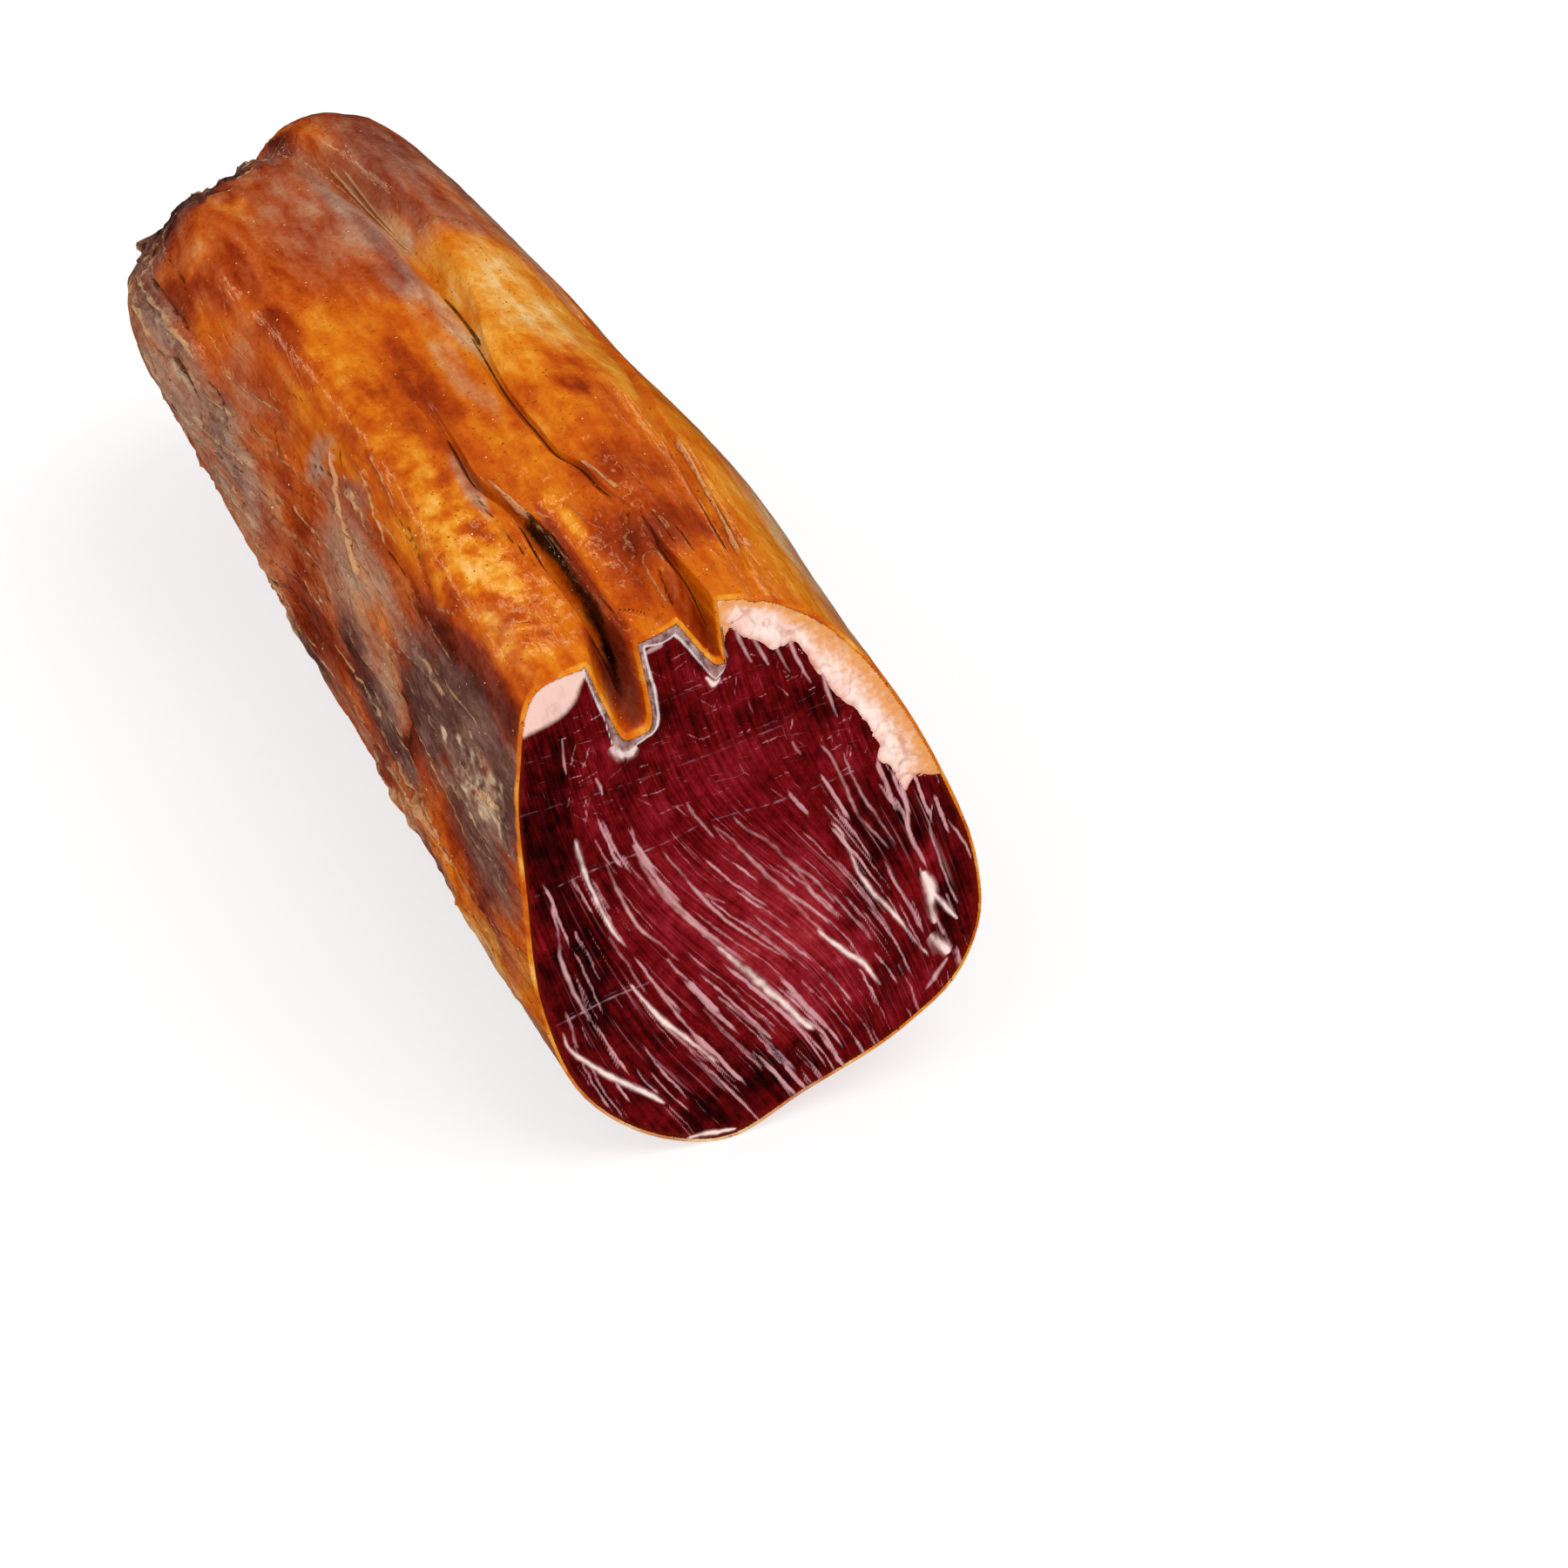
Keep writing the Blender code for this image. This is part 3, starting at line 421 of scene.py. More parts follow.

# Creases and ridges drawn on the casing: kind, width in mm, how far they stand out in mm,
# strength of the colour, and the line as shares round and distances. A crease's dark colour is
# painted shade, a ridge's pale colour is partly a painted highlight, and the stain line is painted
# shade in the dip of the left groove
LINES = (
    ("ridge", 0.5, 0.35, 0.8, ((0.4615, 58), (0.467, 50), (0.472, 43), (0.4745, 39))),
    ("crease", 0.3, -0.3, 0.5, ((0.4787, 52), (0.483, 47.5), (0.4868, 44), (0.484, 36))),
    ("ridge", 0.3, 0.3, 0.4, ((0.4800, 52), (0.4845, 47.5), (0.4885, 44), (0.486, 36))),
    ("ridge", 0.3, 0.3, 0.6, ((0.4425, 46), (0.4455, 40), (0.448, 35))),
    ("ridge", 0.4, 0.5, 0.6, ((0.4575, 1), (0.4588, 8), (0.4600, 15), (0.4640, 19.3),
                              (0.4690, 19), (0.4705, 15), (0.4695, 11))),
    ("crease", 0.4, -0.4, 0.7, ((0.4600, 2), (0.4620, 8), (0.4650, 14), (0.4665, 17))),
    ("crease", 0.3, -0.3, 0.7, ((0.4904, 27), (0.4915, 21), (0.491, 15))),
    ("crease", 0.3, -0.4, 0.8, ((0.4307, 12), (0.436, 10), (0.441, 8.5), (0.446, 5))),
    ("crease", 0.3, -0.3, 0.6, ((0.4778, 36), (0.4765, 30), (0.476, 24), (0.4752, 20))),
    ("crease", 0.3, -0.3, 0.6, ((0.4730, 37), (0.467, 31), (0.4620, 25), (0.4600, 20))),
    ("crease", 0.3, -0.3, 0.6, ((0.4820, 34), (0.484, 27), (0.4835, 18))),
    ("crease", 0.5, -0.5, 0.9, ((0.5357, 66), (0.5339, 54), (0.532, 44), (0.531, 36),
                                (0.529, 29), (0.525, 21.5), (0.520, 14), (0.5176, 6))),
    ("ridge", 0.8, 0.5, 0.6, ((0.5320, 68), (0.5305, 54), (0.5285, 40), (0.5260, 30),
                              (0.5210, 20), (0.515, 8))),
    ("crease", 0.3, -0.4, 0.8, ((0.3985, 64), (0.3990, 55), (0.4005, 48), (0.4045, 39),
                                (0.4080, 31))),
    ("ridge", 0.4, 0.4, 0.5, ((0.3960, 64), (0.3965, 55), (0.3980, 48), (0.4020, 39))),
    ("crease", 0.4, -0.5, 0.9, ((0.4155, 54), (0.4190, 48), (0.4235, 41), (0.4265, 33),
                                (0.4285, 22), (0.430, 11), (0.4325, 3))),
    ("ridge", 0.5, 0.4, 0.8, ((0.4075, 66), (0.4115, 58), (0.4165, 51), (0.4205, 46),
                              (0.4215, 44))),
    ("stain_and_fold_shade", 0.7, -0.5, 0.9, ((0.4160, 48), (0.4200, 40), (0.4215, 30), (0.4220, 20),
                               (0.4205, 12), (0.4150, 6))),
    ("ridge", 0.3, 0.3, 0.5, ((0.4180, 47), (0.4225, 39), (0.4245, 29), (0.4250, 20))),
    ("crease", 0.4, -0.4, 0.9, ((0.4610, 112), (0.4650, 122), (0.4672, 132), (0.4676, 144))),
    ("crease", 0.3, -0.3, 0.6, ((0.4090, 28), (0.4070, 34), (0.4045, 41), (0.4015, 48))),
    ("ridge", 0.7, 0.5, 1.0, ((0.4690, 212), (0.4715, 198), (0.4735, 186), (0.4755, 173),
                              (0.4770, 160))),
    ("ridge", 0.4, 0.4, 1.0, ((0.4770, 204), (0.4790, 194), (0.4800, 183), (0.4800, 172))),
    ("ridge", 0.3, 0.4, 1.0, ((0.4830, 199), (0.4870, 203), (0.4910, 209))),
    ("ridge", 0.4, 0.4, 0.9, ((0.4840, 166), (0.4960, 163), (0.5080, 161), (0.5200, 157))),
    ("crease", 0.4, -0.4, 0.8, ((0.4880, 168), (0.5000, 165.5), (0.5120, 163), (0.5220, 159))),
    ("crease", 0.4, -0.5, 0.9, ((0.222, 126), (0.220, 118), (0.216, 108), (0.209, 98),
                                (0.198, 90))),
    ("crease", 0.4, -0.4, 0.8, ((0.200, 90), (0.208, 76), (0.211, 66), (0.206, 58))),
    ("crease", 0.4, -0.5, 0.8, ((0.165, 72), (0.175, 62), (0.188, 54), (0.196, 50))),
    ("ridge", 0.6, 0.4, 0.7, ((0.170, 72), (0.180, 62), (0.192, 54), (0.200, 50))),
    ("ridge", 1.5, 0.8, 1.0, ((0.345, 109), (0.334, 107), (0.320, 101), (0.303, 95),
                              (0.290, 88), (0.282, 80))),
    ("crease", 0.5, -0.5, 0.9, ((0.349, 106), (0.338, 103.5), (0.325, 97.5), (0.316, 90))),
    ("crease", 0.5, -0.6, 0.9, ((0.294, 186), (0.293, 178), (0.288, 170), (0.278, 165),
                                (0.268, 163))),
    ("crease", 0.4, -0.5, 0.8, ((0.302, 172), (0.298, 160), (0.285, 153), (0.265, 150),
                                (0.24, 151))),
    ("crease", 0.5, -0.6, 0.9, ((0.224, 114), (0.214, 105), (0.210, 97), (0.206, 90))),
    ("crease", 0.5, -0.6, 0.9, ((0.155, 88), (0.162, 78), (0.166, 70), (0.178, 58))),
    ("ridge", 1.2, 0.6, 1.0, ((0.150, 84), (0.157, 76), (0.163, 66), (0.176, 54))),
    ("crease", 0.6, -0.6, 0.9, ((0.205, 62), (0.214, 58), (0.225, 60), (0.238, 57))),
    ("crease", 0.6, -0.6, 0.9, ((0.297, 184), (0.295, 178), (0.291, 172), (0.284, 167),
                                (0.277, 165))),
    ("crease", 0.4, -0.4, 0.7, ((0.285, 163), (0.272, 158), (0.255, 156))),
    ("ridge", 0.9, 0.9, 0.9, ((0.303, 226), (0.305, 210), (0.309, 196), (0.308, 180),
                              (0.303, 166))),
    ("crease", 0.8, -0.7, 0.8, ((0.312, 222), (0.315, 206), (0.317, 190), (0.314, 174))),
    ("ridge", 0.7, 0.7, 0.8, ((0.287, 232), (0.290, 216), (0.293, 202), (0.296, 190))),
    ("crease", 0.5, -0.7, 0.6, ((0.294, 236), (0.298, 220), (0.301, 206), (0.303, 196))),
    ("crease", 0.4, -0.4, 0.7, ((0.2655, 136), (0.262, 129), (0.252, 124))),
    ("crease", 0.4, -0.4, 0.7, ((0.336, 136), (0.341, 129), (0.346, 123))),
    ("crease", 0.4, -0.4, 0.7, ((0.3245, 44), (0.329, 40), (0.334, 36), (0.341, 33))),
    ("ridge", 0.4, 0.4, 0.8, ((0.338, 42), (0.3430, 37.5), (0.346, 35), (0.351, 31))),
    ("ridge", 0.5, 0.5, 0.7, ((0.3320, 84), (0.333, 78), (0.336, 70), (0.338, 62))),
    ("ridge", 0.6, 0.5, 0.8, ((0.359, 94), (0.356, 84), (0.352, 76), (0.349, 68))),
    ("crease", 0.4, -0.4, 0.6, ((0.356, 92), (0.353, 84), (0.349, 76), (0.346, 66),
                                (0.343, 54), (0.344, 44))),
    ("ridge", 0.5, 0.5, 0.6, ((0.344, 98), (0.343, 86), (0.341, 78))),
)

# Finishes. Each has the piece's painted masks, its noises, the values worked out from them,
# its shades and layers of colour, the shader's own numbers, and its relief.
# A noise has where it is read, its size in mm, how far it is drawn out along each axis, its
# seed and its detail. A value is a sum of weighted ones, taken through steps. A shade has the
# value that it follows and the value that it is laid by. A layer has its value, weight and
# colour. Relief has its value, strength, height in mm and the shader's sockets.

# Smoked natural casing, shrunk on to cured meat: thin, oily and glossy, amber over the lean and
# grey where it stands off, that grey partly a painted reflection of the pale floor on its sides,
# with stains, painted shade in its creases and folds, pale flecks, fibres, pores and a few
# painted glints of highlight. The pores and glints are drawn coarser than they are, so that
# they show.
SMOKED_CASING = {
    "masks": ("tone", "veil", "crease", "ridge", "stain_and_fold_shade", "pale", "blotch", "creased"),
    "noises": (
        ("broad", "place", 22.0, (1.0, 1.8, 1.0), 1.0, 5.0),
        ("medium", "place", 6.5, (1.0, 1.5, 1.0), 2.0, 5.0),
        ("strand", "place", 2.4, (1.0, 5.0, 1.0), 3.0, 5.0),
        ("fine", "place", 0.9, (1.0, 1.4, 1.0), 4.0, 5.0),
        ("lump", "place", 7.0, (1.0, 1.8, 1.0), 5.0, 1.0),
        ("spots", "place", 3.6, (1.0, 1.3, 1.0), 6.0, 3.0),
        ("pores", "place", 0.62, (1.0, 1.0, 1.0), 7.0, 2.0),
        ("glints", "place", 0.55, (1.0, 1.2, 1.0), 9.0, 1.0),
        ("wide_crinkle", "place", 6.5, (1.0, 3.4, 1.0), 11.0, 1.5),
        ("thin_crinkle", "place", 2.6, (1.0, 3.4, 1.0), 12.0, 1.5),
        ("hairs", "place", 0.7, (1.0, 7.0, 1.0), 13.0, 3.0),
        ("crumbs", "place", 2.2, (1.0, 1.4, 1.0), 14.0, 4.0),
    ),
    "values": (
        ("spotted", {"spots": 1.0}, (("RISE", -0.14, 0.14),)),
        ("spotted", {"spotted": 0.34, "one": -0.17}, (("MULTIPLY", "blotch"),)),
        ("haired", {"hairs": 1.0}, (("MULTIPLY", "creased"),)),
        ("shade", {"tone": 1.0, "broad": 0.25, "medium": 0.44, "strand": 0.5, "fine": 0.25,
                   "haired": 0.32, "spotted": 1.0}, ()),
        ("wide_crinkle", {"wide_crinkle": 1.0}, (("ABSOLUTE",), ("RISE", 0.024, 0.0))),
        ("thin_crinkle", {"thin_crinkle": 1.0}, (("ABSOLUTE",), ("RISE", 0.024, 0.0))),
        ("crinkled", {"medium": 1.0}, (("RISE", -0.12, 0.08), ("MULTIPLY", "creased"))),
        ("crinkled", {"wide_crinkle": 1.0, "thin_crinkle": 0.6}, (("MULTIPLY", "crinkled"),)),
        ("veiled", {"veil": 1.0, "strand": 0.8, "medium": 0.3}, (("RISE", 0.06, 0.95),)),
        ("flecked", {"crumbs": 3.4, "fine": 0.8, "one": 0.65},
         (("MULTIPLY", "pale"), ("RISE", 0.2, 1.0))),
        ("stained_and_shaded", {"stain_and_fold_shade": 1.0, "fine": 0.6, "strand": 0.8}, (("RISE", 0.45, 1.0),)),
        ("raised", {"ridge": 1.0, "fine": 0.12, "strand": 0.12}, (("RISE", 0.89, 0.98),)),
        ("sunk", {"crease": 1.0, "fine": 0.14, "strand": 0.14}, (("RISE", 0.91, 1.0),)),
        ("pitted", {"pores": 1.0}, (("RISE", 0.145, 0.20),)),
        ("glinting", {"glints": 1.0}, (("RISE", 0.245, 0.28),)),
        ("soft_relief", {"lump": 0.4, "strand": 0.35, "raised": 0.6, "sunk": -0.7,
                         "crinkled": -0.4}, ()),
        ("sharp_relief", {"medium": 1.0, "fine": 0.3, "haired": 0.5}, ()),
    ),
    "shades": (
        ("shade", None, "#260702 #6c1c01 #9e3402 #c25202 #d87408 #e89a2c #f4be6a"),
        ("shade", "veiled", "#1a0c0c #402420 #644038 #8e6656 #b48c74 #d4b290 #ead6b8"),
    ),
    "layers": (
        # The stained layer also paints shade into folds and hollows, the sunk and crinkled layers
        # are painted shade in the creases, the raised layer is partly a painted highlight along
        # the ridges, and the glinting layer is painted highlight
        ("flecked", 1.0, "fleck_colour"), ("stained_and_shaded", 1.0, "stain_and_shade_colour"),
        ("raised", 0.6, "ridge_and_highlight_colour"), ("sunk", 0.9, "crease_shade_colour"),
        ("crinkled", 0.4, "#4a1806"), ("pitted", 1.0, "#7a3008"), ("glinting", 1.0, "#fbe8cc"),
    ),
    "surface": {
        "Roughness": 0.4, "Specular IOR Level": 0.06, "Coat Weight": "casing_wetness",
        "Coat Roughness": 0.06, "Subsurface Weight": 0.08,
        "Subsurface Radius": (1.0, 0.35, 0.12), "Subsurface Scale": 1.2 * MM,
    },
    "relief": (
        ("soft_relief", 0.8, 0.9, ("Coat Normal",)), ("sharp_relief", 0.6, 0.6, ("Normal",)),
    ),
}

# Overlays on the lean: painted mask, how far the noise breaks it up, its span and its colour
LEAN_OVERLAYS = (
    ("tallow", 0.9, 0.1, 0.9, "#eec6b8"), ("jelly", 3.0, 0.1, 2.0, "jelly_colour"),
    ("lace", 0.2, 0.78, 1.0, "#c89296"), ("vein", 0.8, 0.25, 1.15, "vein_colour"),
    ("white", 0.8, 0.3, 1.0, "marbling_colour"), ("mark", 0.3, 0.1, 1.0, "#b88c98"),
    # The last overlay is a painted highlight along the jelly's outer edge
    ("jelly_highlight", 0.9, 0.3, 1.1, "#e8dad6"),
)

# Dry-cured lean meat, sawn across: wine red and oily, with pale threads along its grain, saw
# scratches across its upper part, white marbling, and amber let in from the casing at its edge
CURED_LEAN = {
    "masks": ("lane", "tone", "grainy", "scored", "amber_edge",
              *(overlay[0] for overlay in LEAN_OVERLAYS)),
    "noises": (
        ("broad", "place", 9.0, (1.0, 1.0, 1.0), 1.0, 5.0),
        ("cells", "place", 1.7, (1.0, 1.0, 1.0), 2.0, 5.0),
        ("fine", "place", 0.5, (1.0, 1.0, 1.0), 3.0, 5.0),
        ("fibre", "lane", 0.6, (1.0, 18.0, 1.0), 4.0, 5.0),
        ("thread", "lane", 0.5, (1.0, 34.0, 1.0), 5.0, 3.0),
        ("pale_thread", "lane", 1.7, (1.0, 16.0, 1.0), 6.0, 3.0),
        ("upright", "lane", 0.4, (1.0, 12.0, 1.0), 7.0, 2.0),
        ("level", "lane", 0.35, (16.0, 1.0, 1.0), 8.0, 2.0),
    ),
    "values": (
        ("shade", {"tone": 1.0, "broad": 0.6, "cells": 0.5, "fine": 0.2, "fibre": 0.8}, ()),
        ("edged", {"amber_edge": 1.0, "cells": 1.0}, (("RISE", 0.15, 1.0),)),
        ("threaded", {"grainy": 0.16, "thread": 1.0, "pale_thread": 0.25},
         (("RISE", 0.24, 0.48),)),
        ("pale_threaded", {"grainy": 0.16, "pale_thread": 1.0, "thread": 0.3},
         (("RISE", 0.28, 0.50),)),
        ("upright", {"scored": 0.2, "upright": 1.0, "broad": 0.5}, (("RISE", 0.36, 0.56),)),
        ("level", {"scored": 0.2, "level": 1.0, "broad": 0.5}, (("RISE", 0.36, 0.56),)),
        *((f"{mask}_shown", {"cells": broken, "fibre": 0.4, "one": 1.0},
           (("MULTIPLY", mask), ("RISE", low, high)))
          for mask, broken, low, high, _ in LEAN_OVERLAYS),
        ("relief", {"cells": 0.8, "fine": 0.3, "fibre": 0.6, "vein": 0.4}, ()),
    ),
    "shades": (("shade", None, "#120000 #3a0001 #640408 #84141e #9e2e36 #bc5860"),),
    "layers": (
        ("edged", 1.0, "#5c1202"), ("threaded", 1.0, "#a85860"),
        ("pale_threaded", 1.0, "#c48a8c"), ("upright", 1.0, "#a8606c"),
        ("level", 1.0, "#a8606c"),
        *((f"{overlay[0]}_shown", 1.0, overlay[-1]) for overlay in LEAN_OVERLAYS),
    ),
    "surface": {
        "Roughness": 0.4, "Specular IOR Level": 0.03, "Coat Weight": "lean_wetness",
        "Coat Roughness": 0.05, "Subsurface Weight": 0.06,
        "Subsurface Radius": (1.0, 0.25, 0.2), "Subsurface Scale": 0.8 * MM,
    },
    "relief": (("relief", 0.5, 0.3, ("Normal", "Coat Normal")),),
}

# Cured back fat: waxy, pinkish white, in soft lobes, stained orange next to the casing
BACK_FAT = {
    "masks": ("peach", "crack", "rosy"),
    "noises": (
        ("broad", "place", 5.0, (1.0, 1.0, 1.0), 1.0, 5.0),
        ("fine", "place", 0.9, (1.0, 1.0, 1.0), 3.0, 5.0),
    ),
    "lobes": 2.4,
    "values": (
        ("shade", {"rosy": 1.0, "broad": 1.0, "fine": 0.6}, ()),
        ("peach", {"peach": 1.0, "fine": 0.9, "broad": 0.6}, (("RISE", 0.1, 1.1),)),
        ("crack", {"crack": 1.0, "fine": 0.9, "broad": 0.6}, (("RISE", 0.1, 1.4),)),
        ("relief", {"lobes": -0.6, "broad": 0.8, "fine": 0.4}, ()),
    ),
    "shades": (("shade", None, "#fce6dc #f2c4b4 #d88e80 #a04244"),),
    "layers": (("peach", 1.0, "fat_edge_colour"), ("crack", 1.0, "#cc8c78")),
    "surface": {
        "Roughness": 0.35, "Specular IOR Level": 0.4, "Coat Weight": "fat_wetness",
        "Coat Roughness": 0.1, "Subsurface Weight": 0.3,
        "Subsurface Radius": (1.0, 0.5, 0.35), "Subsurface Scale": 1.2 * MM,
    },
    "relief": (("relief", 0.6, 0.8, ("Normal", "Coat Normal")),),
}

# Matt pale paper that gives off some light of its own, so that it comes out nearly white
PAPER = {
    "Base Color": "#999999", "Emission Color": "#ffffff",
    "Emission Strength": 0.68, "Roughness": 0.9, "Specular IOR Level": 0.0,
}
PAPER_HALF = 6.0
SKY_STRENGTH = 0.72
# Wide soft suns: name, strength, how wide in degrees, and where they shine from
SUNS = (
    ("key", 1.15, 40.0, (0.35, -0.3, 1.0)),
    ("fill", 0.6, 60.0, (-0.8, -0.5, 0.7)),
)
# Warm strips that show in the wet casing alone: name, place, width and height in metres, glow
STRIPS = (
    ("strip_back", (0.1, 1.5, 1.5), 0.05, 0.5, 9.0),
    ("strip_left", (-0.95, 1.35, 0.45), 0.1, 0.5, 6.0),
    ("strip_side", (-1.6, 0.3, 0.8), 0.1, 0.4, 5.0),
    ("strip_right", (1.05, 1.3, 0.45), 0.1, 0.4, 4.0),
    ("strip_east", (1.6, -0.3, 0.9), 0.1, 0.6, 9.0),
    ("strip_west", (-1.5, 0.9, 0.7), 0.1, 0.6, 5.0),
    ("strip_front", (0.5, -1.5, 0.75), 0.4, 0.08, 16.0),
)
STRIP_COLOUR = "#ffe7b3"
# The camera's place, how far it looks down, and how far it is turned, in degrees
CAMERA_PLACE = (-0.2007, -0.6184, 0.4408)
CAMERA_DOWN = 35.0
CAMERA_TURN = -22.5
SENSOR = 36.0


def eased(share):
    """Zero to one with a soft start and end."""
    share = np.clip(share, 0.0, 1.0)
    return share * share * (3.0 - 2.0 * share)


def risen(value, start, full):
    """Zero at start to one at full, with soft ends."""
    return eased((value - start) / (full - start))


def bump(distance, spread):
    """One at the middle, falling away on both sides."""
    return np.exp(-(distance / spread) ** 2)


def through(places, values, at):
    """Smooth curve through values given at places, read at the places in at."""
    places = np.asarray(places, float)
    values = np.asarray(values, float)
    slopes = np.gradient(values, places)
    at = np.clip(at, places[0], places[-1])
    low = np.clip(np.searchsorted(places, at, side="right") - 1, 0, len(places) - 2)
    step = places[low + 1] - places[low]
    t = (at - places[low]) / step
    return (values[low] * (2 * t ** 3 - 3 * t ** 2 + 1)
            + values[low + 1] * (3 * t ** 2 - 2 * t ** 3)
            + slopes[low] * step * (t ** 3 - 2 * t ** 2 + t)
            + slopes[low + 1] * step * (t ** 3 - t ** 2))


def closed_places(outline):
    """Each outline point's share of the way round, and its repeat past the end."""
    points = np.array(outline + outline[:1]) * (WIDTH, FACE_HEIGHT)
    steps = np.hypot(*np.diff(points, axis=0).T)
    return np.concatenate([[0.0], np.cumsum(steps)]) / steps.sum()


OUTLINE_AT = closed_places(CUT_OUTLINE)


def round_outline(outline, share):
    """Point on the closed outline at a share of the way round."""
    points = np.array(outline) * (WIDTH, FACE_HEIGHT)
    places = np.concatenate([OUTLINE_AT[-4:-1] - 1.0, OUTLINE_AT, OUTLINE_AT[1:4] + 1.0])
    points = np.concatenate([points[-3:], points, points[:4]])
    return np.stack([through(places, points[:, axis], share) for axis in (0, 1)], axis=-1)


def smooth_section(share, along):
    """Section without folds: across and up, with its outward direction."""
    settle = eased(along / SETTLED_AT)

    def place(at):
        at = np.mod(at, 1.0)
        flat = round_outline(CUT_OUTLINE, at) * (1.0 - settle)
        flat += round_outline(SETTLED_OUTLINE, at) * settle
        girth = through(GIRTH_AT, GIRTH, along)
        across = (flat[..., 0] - GIRTH_CENTRE) * girth + GIRTH_CENTRE
        across += through(GIRTH_AT, DRIFT, along)
        up = np.maximum(flat[..., 1], 0.0) * girth * math.cos(CUT_LEAN)
        return np.stack([across, up], axis=-1)

    here = place(share)
    run = place(share + NUDGE) - place(share - NUDGE)
    out = np.stack([-run[..., 1], run[..., 0]], axis=-1)
    out /= np.maximum(np.hypot(out[..., 0], out[..., 1]), 1e-9)[..., None]
    return here, out


def top_share(across, along):
    """Share of the way round of the point on the top at a place across."""
    shares = np.linspace(TOP_FROM, TOP_TO, TOP_PLACES)
    line = smooth_section(shares, along)[0][:, 0]
    return float(np.interp(across, line, shares))


def fold_line(fold, along):
    """A fold's line, left lip and right lip as shares of the way round, and its depth."""
    table = np.array(fold)
    across, depth, left, right = (
        float(through(table[:, 0], table[:, column], along)) for column in (1, 2, 3, 4))
    line = top_share(across, along)
    return line, line - left / AROUND, line + right / AROUND, max(depth, 0.0)


def ring_shares(along):
    """Shares of the way round for one section, with points on each fold's line and lips."""
    left = fold_line(LEFT_FOLD, along)
    middle = fold_line(MIDDLE_FOLD, along)
    right = fold_line(RIGHT_FOLD, along)
    marks = [0.0, FLANK_FROM, left[1], left[0], left[2], middle[1], middle[0], middle[2],
             right[1], right[0], right[2], ROOF_END, 1.0]
    for index in range(1, len(marks) - 1):
        marks[index] = max(marks[index], marks[index - 1] + MARK_GAP / AROUND)
    shares = [np.linspace(a, b, steps, endpoint=False)
              for a, b, steps in zip(marks[:-1], marks[1:], ROUND_STEPS)]
    return np.concatenate(shares), (left, middle, right)


def fold_depth(shares, folds):
    """How far the folds draw the casing in at each share of the way round."""
    depth = np.zeros_like(shares)
    for line, left, right, deep in folds:
        side = np.where(shares < line, line - left, right - line)
        reach = np.clip(np.abs(shares - line) / np.maximum(side, 1e-6), 0.0, 1.0)
        broad = eased(((right - left) * AROUND - BROAD_FROM) / BROAD_SPAN)
        narrow = eased((deep - 5.0) / 6.0) * (1.0 - broad)
        steep = STEEP + STEEPER_WHERE_DEEP * narrow - FLATTER_WHERE_BROAD * broad
        depth += deep * 0.5 * (1.0 + np.cos(math.pi * reach ** steep))
    return depth


def relief(shares, along):
    """Swellings and puckers that stand out from the smooth section."""
    height = np.zeros_like(shares)
    for place, spread, start, full, proud in SWELLINGS:
        height += proud * bump(shares - place, spread) * eased((along - start) / (full - start))
    gathered = eased((along - PUCKER_FROM) / (LENGTH - PUCKER_FROM))
    upper = bump(shares - PUCKER_AT, PUCKER_SPREAD)
    phase = 2.4 * grain(shares * 19.0, shares * 0.0 + along / 40.0, 151)
    pinch = 0.55 + 0.6 * grain(shares * 31.0, shares * 0.0 + along / 30.0, 152)
    height += PUCKER_DEPTH * gathered * upper * pinch * np.sin(
        2 * math.pi * PUCKERS * shares + phase)
    share, place, proud, spread = KNOT
    height += proud * bump((shares - share) * AROUND, spread) * bump(along - place, spread)
    return height


def end_shrink(along):
    """How much of its size a section keeps where the far end rounds off."""
    beyond = np.clip((along - END_FROM) / (LENGTH - END_FROM), 0.0, 1.0)
    return max((1.0 - beyond ** END_POWER) ** (1.0 / END_POWER), END_TIP)


def body_ring(along, shares, sink):
    """Points of one section: across, along the loin and up, with the casing sunk by sink."""
    section, out = smooth_section(shares, along)
    section = section - out * sink[:, None]
    centre = np.array(END_CENTRE)
    section = centre + (section - centre) * end_shrink(along)
    section[:, 1] = np.maximum(section[:, 1], 0.0)
    across, up = section.T
    lean = up * math.tan(CUT_LEAN)
    forward = along + lean * max(0.0, 1.0 - along / UPRIGHT_AT)
    forward = forward + SKEW * (across - SKEW_CENTRE) * eased(
        (along - SKEW_FROM) / (SKEW_FULL - SKEW_FROM))
    corner = bump(shares - CORNER_AT, CORNER_SPREAD)
    forward = forward - CORNER_BACK * corner * eased(
        (along - CORNER_FROM) / (LENGTH - CORNER_FROM))
    return np.stack([across, forward, up], axis=-1)


def stations():
    """Distances from the cut of the casing's sections, closer near the cut and at the end."""
    near = np.linspace(RIM[0][1], NEAR_END, NEAR_ROWS, endpoint=False)
    far = np.linspace(NEAR_END, TURN_FROM, FAR_ROWS, endpoint=False)
    turn = np.sin(np.linspace(0.0, math.pi / 2, END_ROWS))
    return np.concatenate([near, far, TURN_FROM + (LENGTH - TURN_FROM) * turn])


def grain(across, along, seed):
    """Smooth seeded noise from -1 to 1, with one cell to each unit."""
    table = np.random.default_rng(seed).uniform(-1.0, 1.0, (256, 256))
    column = np.floor(across).astype(int)
    row = np.floor(along).astype(int)
    right = eased(across - column)
    up = eased(along - row)
    column %= 256
    row %= 256
    low = table[row, column] * (1 - right) + table[row, (column + 1) % 256] * right
    high = (table[(row + 1) % 256, column] * (1 - right)
            + table[(row + 1) % 256, (column + 1) % 256] * right)
    return low * (1 - up) + high * up


